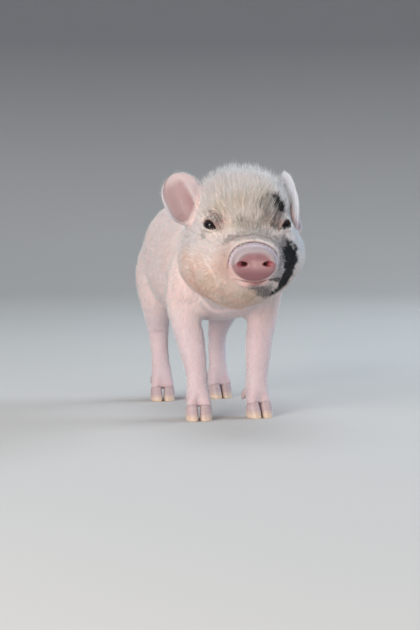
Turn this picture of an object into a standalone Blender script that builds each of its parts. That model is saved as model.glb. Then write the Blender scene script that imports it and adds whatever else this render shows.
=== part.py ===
"""A miniature piglet about a week old, life size, standing square on its four feet with its head up.

Units are metres. The piglet looks along -Y, its left side is +X, and the floor is Z = 0.
The flesh is lofted whole, fused and softened, then parted into named pieces by thin flat cuts.
The nose disc, eyes, ears and claws are pieces of their own, set on the flesh face to face.
"""

import math

import bmesh
import bpy
import numpy as np
from mathutils import Matrix, Vector

MM = 0.001
GAP = 0.3 * MM  # the air between two pieces that meet

# Driving sizes of the animal
HEAD_LENGTH = 95 * MM  # nose disc to the back of the skull
HEAD_WIDTH = 79 * MM  # across the jowls
CROWN_RISE = 47 * MM  # crown above the line of the snout
JAW_DROP = 42.5 * MM  # jowl below the line of the snout
TRUNK_LENGTH = 164 * MM
TRUNK_WIDTH = 80 * MM
BACK_HEIGHT = 147 * MM
LEG_GIRTH = 8.3 * MM  # half the thickness of the fore leg at its knee
EYE_RADIUS = 5.8 * MM
EAR_HALF_WIDTH = 15 * MM
EAR_THICKNESS = 1.9 * MM

# How the animal holds itself
HEAD_PITCH = math.radians(12)  # the snout points a little down
HEAD_YAW = math.radians(-7.3)  # and a little to the piglet's right
NECK_JOINT = Vector((0, -62, 127)) * MM  # where the skull meets the neck
SKULL_JOINT = Vector((0, 76, 6)) * MM  # the same point, measured from the nose disc

SKIN_PINK = (0.86, 0.62, 0.56)
DISC_PINK = (0.72, 0.36, 0.37)
CLAW_CREAM = (0.80, 0.66, 0.52)
EYE_BROWN = (0.035, 0.018, 0.012)

for leftover in list(bpy.data.objects):
    bpy.data.objects.remove(leftover)

piglet = bpy.data.collections.new("piglet")
bpy.context.scene.collection.children.link(piglet)
cutters = bpy.data.collections.new("cutters")
bpy.context.scene.collection.children.link(cutters)


# Helpers

def finish_of(name, colour, roughness):
    """A Principled material of one colour."""
    material = bpy.data.materials.new(name)
    material.use_nodes = True
    shader = material.node_tree.nodes["Principled BSDF"]
    shader.inputs["Base Color"].default_value = (*colour, 1)
    shader.inputs["Roughness"].default_value = roughness
    shader.inputs["Metallic"].default_value = 0.0
    return material


def object_from(name, mesh, collection=piglet):
    thing = bpy.data.objects.new(name, mesh)
    collection.objects.link(thing)
    return thing


def settled(thing):
    """Applies the modifiers of an object, and returns it."""
    graph = bpy.context.evaluated_depsgraph_get()
    mesh = bpy.data.meshes.new_from_object(thing.evaluated_get(graph))
    thing.modifiers.clear()
    thing.data = mesh
    return thing


def drawn_out(rows, count):
    """Carries rows of numbers to `count` rows, by a cubic through them that is even in space."""
    rows = np.array(rows, float)
    steps = np.linalg.norm(np.diff(rows[:, :3], axis=0), axis=1)
    at = np.concatenate([[0.0], np.cumsum(steps)])
    slope = np.gradient(rows, at, axis=0)
    where = np.linspace(0.0, at[-1], count)
    low = np.clip(np.searchsorted(at, where, side="right") - 1, 0, len(at) - 2)
    span = (at[low + 1] - at[low])[:, None]
    t = (where - at[low])[:, None] / span
    return (
        rows[low] * (2 * t**3 - 3 * t**2 + 1)
        + rows[low + 1] * (3 * t**2 - 2 * t**3)
        + slope[low] * span * (t**3 - 2 * t**2 + t)
        + slope[low + 1] * span * (t**3 - t**2)
    )


def oval(centre, across, up, half_width, rise, drop, squareness, sides):
    """One closed ring: a superellipse whose reach above its centre differs from that below."""
    angle = 2 * math.pi * np.arange(sides) / sides
    c, s = np.cos(angle), np.sin(angle)
    x = np.sign(c) * np.abs(c) ** (2 / squareness) * half_width
    z = np.sign(s) * np.abs(s) ** (2 / squareness) * np.where(s > 0, rise, drop)
    return np.array(centre) + np.outer(x, across) + np.outer(z, up)


def lofted(name, rings, collection=piglet):
    """A closed mesh through rings of equal length, with flat ends."""
    shape = bmesh.new()
    loops = [[shape.verts.new(point) for point in ring] for ring in rings]
    for near, far in zip(loops, loops[1:]):
        for i, corner in enumerate(near):
            j = (i + 1) % len(near)
            shape.faces.new((corner, near[j], far[j], far[i]))
    shape.faces.new(loops[0])
    shape.faces.new(loops[-1])
    bmesh.ops.recalc_face_normals(shape, faces=shape.faces)
    mesh = bpy.data.meshes.new(name)
    shape.to_mesh(mesh)
    shape.free()
    return object_from(name, mesh, collection)


def barrel(name, sections, count, sides=32, squareness=2.2):
    """A loft along Y. A section is (y, half width, top, underside, height of the widest line)."""
    rings = []
    padded = [(y, 0, 0, half, top, low, mid) for y, half, top, low, mid in sections]
    for y, _, _, half, top, low, mid in drawn_out(padded, count):
        centre = (0, y, mid)
        rings.append(oval(centre, (1, 0, 0), (0, 0, 1), half, top - mid, mid - low, squareness, sides))
    return lofted(name, rings)


def limb(name, sections, count, sides=20, squareness=2.0, collection=piglet):
    """A loft square to its own path. A section is (x, y, z, half width across, half depth)."""
    rows = drawn_out(sections, count)
    path = rows[:, :3]
    heading = np.gradient(path, axis=0)
    heading /= np.linalg.norm(heading, axis=1)[:, None]
    rings = []
    for point, ahead, (half, deep) in zip(path, heading, rows[:, 3:5]):
        across = np.array((1.0, 0, 0)) - ahead * ahead[0]
        across /= np.linalg.norm(across)
        rings.append(oval(point, across, np.cross(ahead, across), half, deep, deep, squareness, sides))
    return lofted(name, rings, collection)


def ball(name, centre, radii, collection=piglet, segments=24):
    """An ellipsoid."""
    shape = bmesh.new()
    bmesh.ops.create_uvsphere(shape, u_segments=segments, v_segments=segments // 2, radius=1.0)
    bmesh.ops.transform(shape, matrix=Matrix.Diagonal((*radii, 1)), verts=shape.verts)
    mesh = bpy.data.meshes.new(name)
    shape.to_mesh(mesh)
    shape.free()
    mesh.transform(Matrix.Translation(centre))
    return object_from(name, mesh, collection)


def block(name, centre, size, turn=None):
    """A box that cuts or keeps. It stays out of the model."""
    shape = bmesh.new()
    bmesh.ops.create_cube(shape, size=1.0)
    mesh = bpy.data.meshes.new(name)
    shape.to_mesh(mesh)
    shape.free()
    mesh.transform(Matrix.Diagonal((*size, 1)))
    mesh.transform((turn or Matrix.Identity(3)).to_4x4())
    mesh.transform(Matrix.Translation(centre))
    thing = object_from(name, mesh, cutters)
    thing.hide_render = True
    thing.display_type = "WIRE"
    return thing


def half_space(name, point, outward, reach=0.4):
    """A large block that fills the side of a plane that `outward` points to."""
    turn = Vector(outward).to_track_quat("Z", "Y").to_matrix()
    centre = Vector(point) + Vector(outward).normalized() * (reach / 2)
    return block(name, centre, (reach, reach, reach), turn)


def largest_only(thing):
    """Keeps the largest closed surface of a mesh, which drops scraps and sealed hollows."""
    shape = bmesh.new()
    shape.from_mesh(thing.data)
    bmesh.ops.remove_doubles(shape, verts=shape.verts, dist=1e-6)
    groups, seen = [], set()
    for start in shape.verts:
        if start in seen:
            continue
        group, front = [], [start]
        seen.add(start)
        while front:
            vertex = front.pop()
            group.append(vertex)
            for edge in vertex.link_edges:
                other = edge.other_vert(vertex)
                if other not in seen:
                    seen.add(other)
                    front.append(other)
        groups.append(group)
    groups.sort(key=len)
    loose = [vertex for group in groups[:-1] for vertex in group]
    bmesh.ops.delete(shape, geom=loose, context="VERTS")
    shape.to_mesh(thing.data)
    shape.free()
    return thing


def booleaned(thing, operation, others, solver="EXACT"):
    """Cuts, keeps or joins with each of the other objects in turn."""
    for other in others:
        step = thing.modifiers.new(operation.lower(), "BOOLEAN")
        step.operation = operation
        step.object = other
        step.solver = solver
    return largest_only(settled(thing))


def copy_of(thing, name, collection=piglet):
    return object_from(name, thing.data.copy(), collection)


def grown(thing, name, margin=GAP):
    """A copy whose surface stands proud by a margin, used as a cutter."""
    copy = copy_of(thing, name, cutters)
    swell = copy.modifiers.new("swell", "DISPLACE")
    swell.strength = margin
    swell.mid_level = 0.0
    settled(copy)
    copy.hide_render = True
    copy.display_type = "WIRE"
    return copy


def fused(name, pieces, soft_spots):
    """Joins closed pieces into one skin, rounds it, and softens the creases near the soft spots."""
    shape = bmesh.new()
    for piece in pieces:
        shape.from_mesh(piece.data)
        bpy.data.objects.remove(piece)
    mesh = bpy.data.meshes.new(name)
    shape.to_mesh(mesh)
    shape.free()
    whole = object_from(name, mesh)
    remesh = whole.modifiers.new("one skin", "REMESH")
    remesh.mode = "VOXEL"
    remesh.voxel_size = VOXEL
    largest_only(settled(whole))
    rounding = whole.modifiers.new("rounding", "SMOOTH")
    rounding.factor = 0.5
    rounding.iterations = ROUNDING_STEPS
    soft = whole.vertex_groups.new(name="creases")
    points = np.array([vertex.co for vertex in whole.data.vertices])
    weight = np.zeros(len(points))
    for centre, reach in soft_spots:
        share = np.linalg.norm(points - np.array(centre), axis=1) / reach
        weight = np.maximum(weight, np.clip(1.4 * (1 - share), 0, 1))
    for index in np.nonzero(weight > 0.01)[0]:
        soft.add([int(index)], float(weight[index]), "REPLACE")
    soften = whole.modifiers.new("creases", "SMOOTH")
    soften.vertex_group = soft.name
    soften.factor = 0.6
    soften.iterations = CREASE_STEPS
    settled(whole)
    whole.vertex_groups.clear()
    return whole


def thinned(thing, name, triangles):
    """A copy with fewer triangles."""
    copy = copy_of(thing, name)
    thin = copy.modifiers.new("thinning", "DECIMATE")
    thin.ratio = min(1.0, triangles / (2 * len(thing.data.polygons)))
    return settled(copy)


def discard(*things):
    for thing in things:
        bpy.data.objects.remove(thing)


VOXEL = 1.3 * MM
ROUNDING_STEPS = 4
CREASE_STEPS = 40
HEAD_FINENESS = 10500  # triangles of the whole animal at the head's grain
BODY_FINENESS = 6600  # and at the body's


# Head, in its own frame: the origin is the middle of the nose disc, +Y runs back along the snout

HEAD_POSE = (
    Matrix.Translation(NECK_JOINT)
    @ Matrix.Rotation(HEAD_YAW, 4, "Z")
    @ Matrix.Rotation(HEAD_PITCH, 4, "X")
    @ Matrix.Translation(-SKULL_JOINT)
)

# Shares of the head's length, half width, crown rise and jaw drop,
# and the widest line's height as a share of the rise
HEAD_SECTIONS = [
    (0.015, 0.320, 0.210, 0.210, 0.00),
    (0.047, 0.350, 0.232, 0.245, 0.00),
    (0.085, 0.405, 0.280, 0.330, 0.00),
    (0.137, 0.450, 0.303, 0.440, -0.01),
    (0.190, 0.515, 0.328, 0.550, -0.03),
    (0.253, 0.630, 0.375, 0.660, -0.06),
    (0.316, 0.755, 0.460, 0.765, -0.09),
    (0.379, 0.860, 0.595, 0.850, -0.12),
    (0.442, 0.928, 0.735, 0.895, -0.14),
    (0.526, 0.985, 0.870, 0.975, -0.17),
    (0.610, 1.000, 0.962, 1.000, -0.17),
    (0.695, 0.970, 1.000, 0.945, -0.11),
    (0.779, 0.875, 0.968, 0.800, -0.02),
    (0.863, 0.715, 0.850, 0.610, 0.08),
    (0.937, 0.500, 0.660, 0.400, 0.16),
    (0.980, 0.255, 0.465, 0.190, 0.20),
]
DISC_DEPTH = 3.6 * MM
DISC_REACH = (13.1 * MM, 10.2 * MM, 9.4 * MM)  # sideways, up and down from its middle
NOSTRIL = (6.9 * MM, 1.2 * MM)  # sideways and up from the disc's middle
EYE_AIM = Vector((0.62, -0.72, 0.30)).normalized()
EYE_CENTRE = Vector((21.4, 38.0, 15.8)) * MM
LID_THICKNESS = 1.2 * MM
LID_OPENING = (4.9 * MM, 2.9 * MM)  # half length and half height of the almond
LID_SLANT = math.radians(16)  # the inner corner sits lower


def head_sections():
    return [
        (back * HEAD_LENGTH, half * HEAD_WIDTH / 2, top * CROWN_RISE, -drop * JAW_DROP, mid * CROWN_RISE)
        for back, half, top, drop, mid in HEAD_SECTIONS
    ]


def side_of(vector, side):
    return Vector((vector.x * side, vector.y, vector.z))


def cheek_x(back, height):
    """Half width of the head's loft at a distance behind the nose and a height."""
    rows = np.array(head_sections())
    half, top, low, mid = (np.interp(back, rows[:, 0], rows[:, k]) for k in (1, 2, 3, 4))
    share = (height - mid) / (top - mid) if height > mid else (mid - height) / (mid - low)
    return half * (1 - min(share, 0.999) ** 2.2) ** (1 / 2.2)


def eye_axes(side):
    """Aim, along the slit (inner to outer corner) and up, for the eye on one side."""
    aim = side_of(EYE_AIM, side)
    level = Vector((0, 0, 1)).cross(aim).normalized() * side
    slit = Matrix.Rotation(-LID_SLANT * side, 3, aim) @ level
    return aim, slit, aim.cross(slit).normalized()


def skull():
    whole = barrel("skull", head_sections(), 40, 40, 2.25)
    lower_lip = ball("lower_lip", Vector((0, 12.5, -12.4)) * MM, Vector((11.5, 8.6, 5.2)) * MM)
    return [whole, lower_lip]


def lids():
    """The eyeball covered by its lids, which stands a little out of the skull."""
    covers = []
    for side in (1, -1):
        reach = EYE_RADIUS + LID_THICKNESS
        covers.append(ball("lids", side_of(EYE_CENTRE, side), (reach, reach, reach)))
    return covers


def almond_cutter(side):
    """A pointed oval prism along the eye's aim, from inside the ball out past the lids."""
    aim, slit, up = eye_axes(side)
    half_length, half_height = LID_OPENING
    turns = np.linspace(0, 2 * math.pi, 20, endpoint=False)
    outline = []
    for a in turns:
        lean = 1 - 0.25 * abs(math.cos(a))
        outline.append((math.cos(a) * half_length, math.sin(a) * half_height * lean))
    rings = []
    for depth, spread in ((1.0 * MM, 0.9), (12 * MM, 1.35)):
        middle = side_of(EYE_CENTRE, side) + aim * depth
        rings.append([middle + slit * (a * spread) + up * (b * spread) for a, b in outline])
    cutter = lofted("almond", rings, cutters)
    cutter.hide_render = True
    return cutter


def mouth_groove():
    """A thin tube along the line of the mouth, from one corner round the front to the other."""
    corner = [(17, -12.2), (14.5, -12.1), (12, -11.7), (8.5, -10.9)]
    near = [(cheek_x(back * MM, height * MM), back * MM, height * MM) for back, height in corner]
    front = [(8.0, 5.2, -10.3), (4.0, 4.3, -10.4), (0.0, 4.0, -10.4)]
    left = near + [tuple(value * MM for value in point) for point in front]
    right = [(-x, y, z) for x, y, z in reversed(left[:-1])]
    path = [(*point, 0.65 * MM, 0.65 * MM) for point in left + right]
    rows = drawn_out(path, 26)
    rings = []
    heading = np.gradient(rows[:, :3], axis=0)
    for point, ahead in zip(rows[:, :3], heading):
        ahead = Vector(ahead).normalized()
        across = ahead.cross(Vector((0, 0, 1))).normalized()
        rings.append(oval(point, across, across.cross(ahead), 1.1 * MM, 0.5 * MM, 0.5 * MM, 2.0, 6))
    return lofted("mouth", rings, cutters)


def nose_disc():
    """The pink plate of the snout, wider at the nostrils than at the lip, with two nostrils sunk in it."""
    profile = [(-0.4, 0.45), (-0.25, 0.72), (0.15, 0.89), (1.0, 0.985), (2.0, 1.0), (3.3, 0.955)]
    rings = []
    for back, share in profile:
        half, rise, drop = (size * share for size in DISC_REACH)
        ring = oval((0, back * MM, 0), (1, 0, 0), (0, 0, 1), half, rise, drop, 2.35, 32)
        ring[:, 0] *= 1 - 0.14 * np.clip(-ring[:, 2] / drop, 0, 1)
        rings.append(ring)
    disc = lofted("nose_disc", rings)
    nostrils = []
    for side in (1, -1):
        pit = ball("nostril", (0, 0, 0), Vector((2.9, 2.5, 1.8)) * MM, cutters, 12)
        pit.data.transform(Matrix.Rotation(math.radians(14) * side, 4, "Y"))
        pit.data.transform(Matrix.Translation(Vector((NOSTRIL[0] * side, -0.2 * MM, NOSTRIL[1]))))
        nostrils.append(pit)
    booleaned(disc, "DIFFERENCE", nostrils)
    discard(*nostrils)
    disc.data.transform(HEAD_POSE)
    return disc


# For each ear: its side, the root, bend and tip of its middle line, where its hollow faces at its root
# and at its tip (outward, back, up), and half the angle that its sheet goes round at its root and at its tip
EARS = {
    "left": (
        1,
        (Vector((24, 60, 12)) * MM, Vector((32, 64, 22)) * MM, Vector((28.5, 76, 41)) * MM),
        (Vector((0.90, -0.40, -0.10)), Vector((0.97, -0.10, 0.0))),
        (math.radians(90), math.radians(20)),
    ),
    "right": (
        -1,
        (Vector((27, 55, 12)) * MM, Vector((36, 58, 24)) * MM, Vector((45.8, 71, 40.3)) * MM),
        (Vector((0.45, -0.85, -0.10)), Vector((0.31, -0.83, 0.47))),
        (math.radians(95), math.radians(26)),
    ),
}
EAR_WIDEST = 0.4  # share of the way from root to tip


def ear(name, side, line, facings, curls):
    """A rounded leaf, curled into a funnel at its root and cupped towards its tip."""
    shape = bmesh.new()
    rows = []
    root, bend, tip = line
    for u in np.linspace(0, 1, 13):
        middle = root * (1 - u) ** 2 + bend * (2 * u * (1 - u)) + tip * u**2
        ahead = ((bend - root) * (1 - u) + (tip - bend) * u).normalized()
        share = min(1, 1.3 * u)
        facing = facings[0].lerp(facings[1], share)
        facing = (facing - ahead * facing.dot(ahead)).normalized()
        sideways = facing.cross(ahead)
        if u < EAR_WIDEST:
            half = EAR_HALF_WIDTH * (0.92 + 0.08 * math.sin(u / EAR_WIDEST * math.pi / 2))
        else:
            half = EAR_HALF_WIDTH * max(0.0, 1 - ((u - EAR_WIDEST) / (1.02 - EAR_WIDEST)) ** 2.7) ** 0.5
        curl = curls[0] + (curls[1] - curls[0]) * share
        radius = half / curl
        row = []
        for v in np.linspace(-1, 1, 11):
            across, deep = radius * math.sin(curl * v), radius * (1 - math.cos(curl * v))
            point = middle + sideways * across + facing * deep
            row.append(shape.verts.new((point.x * side, point.y, point.z)))
        rows.append(row)
    for near, far in zip(rows, rows[1:]):
        for i in range(len(near) - 1):
            shape.faces.new((near[i], near[i + 1], far[i + 1], far[i]))
    bmesh.ops.recalc_face_normals(shape, faces=shape.faces)
    mesh = bpy.data.meshes.new(name)
    shape.to_mesh(mesh)
    shape.free()
    leaf = object_from(name, mesh)
    leaf.data.transform(HEAD_POSE)
    shell = leaf.modifiers.new("shell", "SOLIDIFY")
    shell.thickness = EAR_THICKNESS
    shell.offset = 0.0
    return settled(leaf)


# Neck and trunk

NECK_SECTIONS = [
    (-2, -84, 125, 24, 29),
    (-1.5, -74, 121, 30.5, 35),
    (-1, -60, 116, 33.5, 37),
    (0, -44, 111, 34.5, 37),
    (0, -28, 106, 35.5, 36.5),
    (0, -14, 103, 35.5, 36),
]
# Shares of the trunk's length behind its front, of its half width, and of the back's height
TRUNK_FRONT = -61.5 * MM
TRUNK_SECTIONS = [
    (0.000, 0.25, 0.840, 0.630, 0.72),
    (0.050, 0.57, 0.925, 0.540, 0.71),
    (0.130, 0.80, 0.972, 0.470, 0.70),
    (0.240, 0.925, 0.994, 0.438, 0.69),
    (0.380, 0.980, 1.000, 0.425, 0.68),
    (0.520, 1.000, 1.004, 0.418, 0.67),
    (0.650, 1.000, 1.006, 0.430, 0.68),
    (0.760, 0.960, 0.995, 0.465, 0.70),
    (0.855, 0.865, 0.955, 0.520, 0.71),
    (0.930, 0.680, 0.890, 0.595, 0.73),
    (0.980, 0.420, 0.820, 0.670, 0.74),
    (1.000, 0.180, 0.780, 0.710, 0.745),
]


def trunk():
    sections = []
    for back, half, *heights in TRUNK_SECTIONS:
        along = TRUNK_FRONT + back * TRUNK_LENGTH
        sections.append((along, half * TRUNK_WIDTH / 2, *(share * BACK_HEIGHT for share in heights)))
    return barrel("trunk", sections, 36, 36, 2.2)


def neck():
    rows = [(x * MM, y * MM, z * MM, half * MM, deep * MM) for x, y, z, half, deep in NECK_SECTIONS]
    return limb("neck", rows, 16, 32, 2.1)


# Legs: a section is (outward, along Y, height, half width, half depth), in mm

FORE_LEG = [
    (22, -28, 120, 8.0, 15.0),
    (25, -27, 105, 11.5, 19.0),
    (27.5, -26, 90, 13.0, 18.0),
    (27.5, -24, 77, 12.5, 14.5),
    (26.5, -25, 65, 11.0, 12.0),
    (24, -28.5, 52, 9.9, 10.4),
    (22.5, -31.5, 41, 8.9, 9.2),
    (21.5, -32.5, 31, 7.8, 7.9),
    (21, -33.0, 22, 7.9, 8.1),
    (21, -34.5, 15, 7.9, 7.6),
]
HIND_LEG = [
    (19, 65, 118, 11.0, 24.0),
    (24, 67, 103, 15.0, 27.5),
    (27, 67, 89, 15.0, 25.0),
    (27, 68, 76, 12.8, 18.5),
    (25, 72.5, 63, 10.2, 13.4),
    (23, 78, 51, 8.3, 10.3),
    (22.5, 78.5, 41, 7.4, 8.2),
    (22, 77, 31, 7.1, 7.4),
    (22, 75, 22, 7.6, 7.8),
    (22, 73, 15, 7.7, 7.4),
]
KNEE_GIRTH_MM = 8.3
# Each leg: side, its sections, how far its foot is set back, and how far the foot turns out
LEGS = {
    "fore_leg_left": (1, FORE_LEG, 2.0 * MM, math.radians(6)),
    "fore_leg_right": (-1, FORE_LEG, -2.5 * MM, math.radians(8)),
    "hind_leg_left": (1, HIND_LEG, 3.0 * MM, math.radians(7)),
    "hind_leg_right": (-1, HIND_LEG, -2.5 * MM, math.radians(6)),
}
STEP_STARTS = 80 * MM  # a foot's step fades out up to this height
TOE_SPREAD = 4.75 * MM
CLAW_HEEL, CLAW_FRONT = 6.0 * MM, 10.5 * MM  # height of the coronet at the heel and in front


def leg_rows(side, sections, step):
    girth = LEG_GIRTH / KNEE_GIRTH_MM
    rows = []
    for out, along, height, half, deep in sections:
        share = max(0.0, 1 - height * MM / STEP_STARTS)
        rows.append((side * out * MM, along * MM + step * share, height * MM, half * girth, deep * girth))
    return rows


def foot_frame(side, sections, step, heading):
    """The foot's own frame: its origin on the floor under the pastern, -Y towards the toes."""
    out, along, height = sections[-1][:3]
    share = max(0.0, 1 - height * MM / STEP_STARTS)
    place = Vector((side * out * MM, along * MM + step * share - 2.5 * MM, 0))
    return Matrix.Translation(place) @ Matrix.Rotation(heading * side, 4, "Z")


def toes(frame, name):
    """The two digits down to the claws and the stubs of the two dewclaws, as flesh."""
    made = []
    for way in (1, -1):
        digit = [
            (way * 2.6 * MM, 1.6 * MM, 19 * MM, 4.6 * MM, 6.2 * MM),
            (way * 4.0 * MM, 0.4 * MM, 13 * MM, 4.2 * MM, 6.0 * MM),
            (way * TOE_SPREAD, -1.2 * MM, 8 * MM, 3.9 * MM, 6.2 * MM),
            (way * TOE_SPREAD, -2.4 * MM, 3 * MM, 3.3 * MM, 5.4 * MM),
        ]
        made.append(limb(name, digit, 8, 16, 2.2))
        stub = [
            (way * 2.4 * MM, 4.0 * MM, 21 * MM, 2.6 * MM, 3.2 * MM),
            (way * 4.6 * MM, 7.6 * MM, 18 * MM, 2.7 * MM, 2.8 * MM),
            (way * 5.8 * MM, 10.2 * MM, 14 * MM, 2.2 * MM, 2.2 * MM),
        ]
        made.append(limb(name, stub, 6, 12))
    for piece in made:
        piece.data.transform(frame)
    return made


def coronet_plane(frame):
    """A point on the coronet's plane and its normal, which points up."""
    rise, run = CLAW_FRONT - CLAW_HEEL, 14 * MM
    point = frame @ Vector((0, -1.0 * MM, (CLAW_FRONT + CLAW_HEEL) / 2))
    normal = frame.to_3x3() @ Vector((0, rise, run)).normalized()
    return point, normal


def claw(name, frame, way):
    """One main claw: a wedge with a flat sole, a sloping toe and a straighter inner wall."""
    levels = [
        (0.0, 0.0, 6.3, 7.6, 4.05),
        (4.0, 0.9, 6.2, 6.8, 4.15),
        (8.0, 2.1, 5.6, 5.9, 3.95),
        (13.0, 3.6, 4.6, 4.8, 3.5),
    ]
    rings = []
    for height, back, heel, toe, half in levels:
        centre = (way * TOE_SPREAD, (back - 3.6) * MM, height * MM)
        rings.append(oval(centre, (1, 0, 0), (0, -1, 0), half * MM, toe * MM, heel * MM, 2.3, 14))
    for ring in rings:
        forward = np.clip(-(ring[:, 1] + 3.6 * MM) / (7.6 * MM), 0, 1)
        ring[:, 0] -= way * 1.3 * MM * forward**1.5
    shell = lofted(name, rings)
    shell.data.transform(frame)
    point, normal = coronet_plane(frame)
    above = half_space("above", point - normal * (GAP / 2), normal)
    booleaned(shell, "DIFFERENCE", [above])
    discard(above)
    return shell


def dewclaw_axis(frame, way):
    """The root and the direction of a dewclaw."""
    root = frame @ (Vector((way * 5.3, 9.2, 15.6)) * MM)
    direction = frame.to_3x3() @ Vector((way * 0.26, 0.46, -0.85)).normalized()
    return root, direction


def dewclaw(name, frame, way):
    """A small blunt cone behind the foot, clear of the floor."""
    root, direction = dewclaw_axis(frame, way)
    rows = []
    for reach, half in ((0.3, 2.35), (2.2, 2.1), (4.2, 1.5), (5.4, 0.7)):
        point = root + direction * reach * MM
        rows.append((*point, half * MM, half * 0.9 * MM))
    return limb(name, rows, 5, 8)


def dewclaw_cutter(frame, way):
    root, direction = dewclaw_axis(frame, way)
    turn = direction.to_track_quat("Z", "Y").to_matrix()
    return block("dew", root + direction * 5 * MM, Vector((7, 7, 10)) * MM, turn)


# Tail

TAIL_SECTIONS = [
    (0, 91, 125, 5.2, 5.4),
    (0, 98, 124, 4.6, 4.8),
    (0.3, 104, 120.5, 3.6, 3.7),
    (1.2, 109, 114.5, 3.0, 3.0),
    (3.2, 111.5, 106, 2.7, 2.7),
    (6.4, 111, 97.5, 2.4, 2.4),
    (10.0, 108.5, 91.5, 2.1, 2.1),
    (13.5, 107.5, 88.5, 1.9, 1.9),
    (17.0, 109.5, 89.0, 1.7, 1.7),
    (18.5, 112.5, 92.5, 1.4, 1.4),
    (17.8, 114.0, 96.0, 0.9, 0.9),
]


def tail_rows():
    return [tuple(value * MM for value in row) for row in TAIL_SECTIONS]


TAIL_CUT = Vector((0.3, 104.5, 119.9)) * MM
TAIL_HEADING = Vector((0.1, 0.70, -0.70)).normalized()
TAIL_BLOCK = 16 * MM


# Building

SHOULDER_SPOTS = [(Vector((26 * s, -26, 84)) * MM, 24 * MM) for s in (1, -1)]
HAUNCH_SPOTS = [(Vector((27 * s, 60, 90)) * MM, 30 * MM) for s in (1, -1)]
GROIN_SPOTS = [(Vector((12 * s, 66, 66)) * MM, 16 * MM) for s in (1, -1)]
ARMPIT_SPOTS = [(Vector((12 * s, -26, 66)) * MM, 14 * MM) for s in (1, -1)]
NECK_PLACES = [(0, -52, 150), (30, -54, 124), (-32, -58, 124), (0, -58, 82), (22, -56, 94), (-22, -60, 94)]
NECK_SPOTS = [(Vector(place) * MM, 24 * MM) for place in NECK_PLACES]
BREAST_SPOTS = [(Vector((0, -50, 84)) * MM, 26 * MM)]
RUMP_SPOTS = [(Vector((0, 95, 124)) * MM, 12 * MM)]

skin = finish_of("skin", SKIN_PINK, 0.55)
disc_skin = finish_of("disc", DISC_PINK, 0.42)
horn = finish_of("claw", CLAW_CREAM, 0.4)
eye_finish = finish_of("eye", EYE_BROWN, 0.08)

pieces = skull() + lids()
for piece in pieces:
    piece.data.transform(HEAD_POSE)
pieces += [neck(), trunk(), limb("tail_stub", tail_rows()[:4], 7, 16)]
frames = {}
for leg_name, (side, sections, step, heading) in LEGS.items():
    pieces.append(limb(leg_name, leg_rows(side, sections, step), 26, 24, 2.1))
    frames[leg_name] = foot_frame(side, sections, step, heading)
    pieces += toes(frames[leg_name], leg_name)
soft_spots = SHOULDER_SPOTS + HAUNCH_SPOTS + GROIN_SPOTS + ARMPIT_SPOTS
soft_spots += NECK_SPOTS + BREAST_SPOTS + RUMP_SPOTS
whole = fused("whole", pieces, soft_spots)
head = thinned(whole, "head", HEAD_FINENESS)
rear = thinned(whole, "rear", BODY_FINENESS)
discard(whole)

# The head ends at a plane behind the ears, and the neck at one over the shoulder
HEAD_CUT = (Vector((-2, -57, 116)) * MM, Vector((0.10, 0.97, 0.20)).normalized())
NECK_CUT = (Vector((0, -38, 110)) * MM, Vector((0, 0.96, 0.28)).normalized())


def beside(plane, away):
    """The half space beyond a plane, moved half the gap to either side."""
    point, normal = plane
    direction = normal if away > 0 else -normal
    return half_space("side", point - direction * (GAP / 2), direction)


behind_head = beside(HEAD_CUT, 1)
booleaned(head, "DIFFERENCE", [behind_head])
discard(behind_head)

# How far forward and back a leg's zone reaches, and the inner height and slope of its slanted face
LEG_ZONES = {
    "fore": (-49 * MM, -3 * MM, 54 * MM, math.radians(43)),
    "hind": (38 * MM, 106 * MM, 55 * MM, math.radians(47)),
}
ZONE_INSIDE, ZONE_OUTSIDE = 3 * MM, 60 * MM


def leg_zone(leg_name, margin):
    """A prism that holds a whole leg. Its slanted upper face parts the limb from the trunk's side."""
    side = LEGS[leg_name][0]
    near, far, height, slope = LEG_ZONES[leg_name[:4]]
    inside, low = ZONE_INSIDE - margin, height + margin / math.cos(slope)
    high = low + (ZONE_OUTSIDE - inside) * math.tan(slope)
    outline = [(inside, -0.01), (ZONE_OUTSIDE, -0.01), (ZONE_OUTSIDE, high), (inside, low)]
    rings = [[Vector((x * side, y, z)) for x, z in outline] for y in (near - margin, far + margin)]
    zone = lofted("leg_zone", rings, cutters)
    zone.hide_render = True
    return zone


legs = {}
for leg_name in LEGS:
    keep = leg_zone(leg_name, 0.0)
    leg = booleaned(copy_of(rear, leg_name), "INTERSECT", [keep])
    discard(keep)
    frame = frames[leg_name]
    point, normal = coronet_plane(frame)
    sole = half_space("sole", point + normal * (GAP / 2), -normal)
    trims = [dewclaw_cutter(frame, way) for way in (1, -1)]
    legs[leg_name] = booleaned(leg, "DIFFERENCE", [sole] + trims)
    discard(sole, *trims)

zones = [leg_zone(leg_name, GAP) for leg_name in LEGS]
before, after = beside(HEAD_CUT, -1), beside(NECK_CUT, 1)
neck_node = booleaned(copy_of(rear, "neck"), "DIFFERENCE", [before, after] + zones)
discard(before, after)

torso = copy_of(rear, "torso")
fore_part = beside(NECK_CUT, -1)
tail_side = half_space("tail_side", TAIL_CUT - TAIL_HEADING * (GAP / 2), TAIL_HEADING, TAIL_BLOCK)
booleaned(torso, "DIFFERENCE", zones + [fore_part, tail_side])
discard(fore_part, *zones)
discard(rear, tail_side)

tail = limb("tail", tail_rows(), 26, 12)
root_side = half_space("root_side", TAIL_CUT + TAIL_HEADING * (GAP / 2), -TAIL_HEADING, 2 * TAIL_BLOCK)
booleaned(tail, "DIFFERENCE", [root_side])
discard(root_side)

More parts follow.
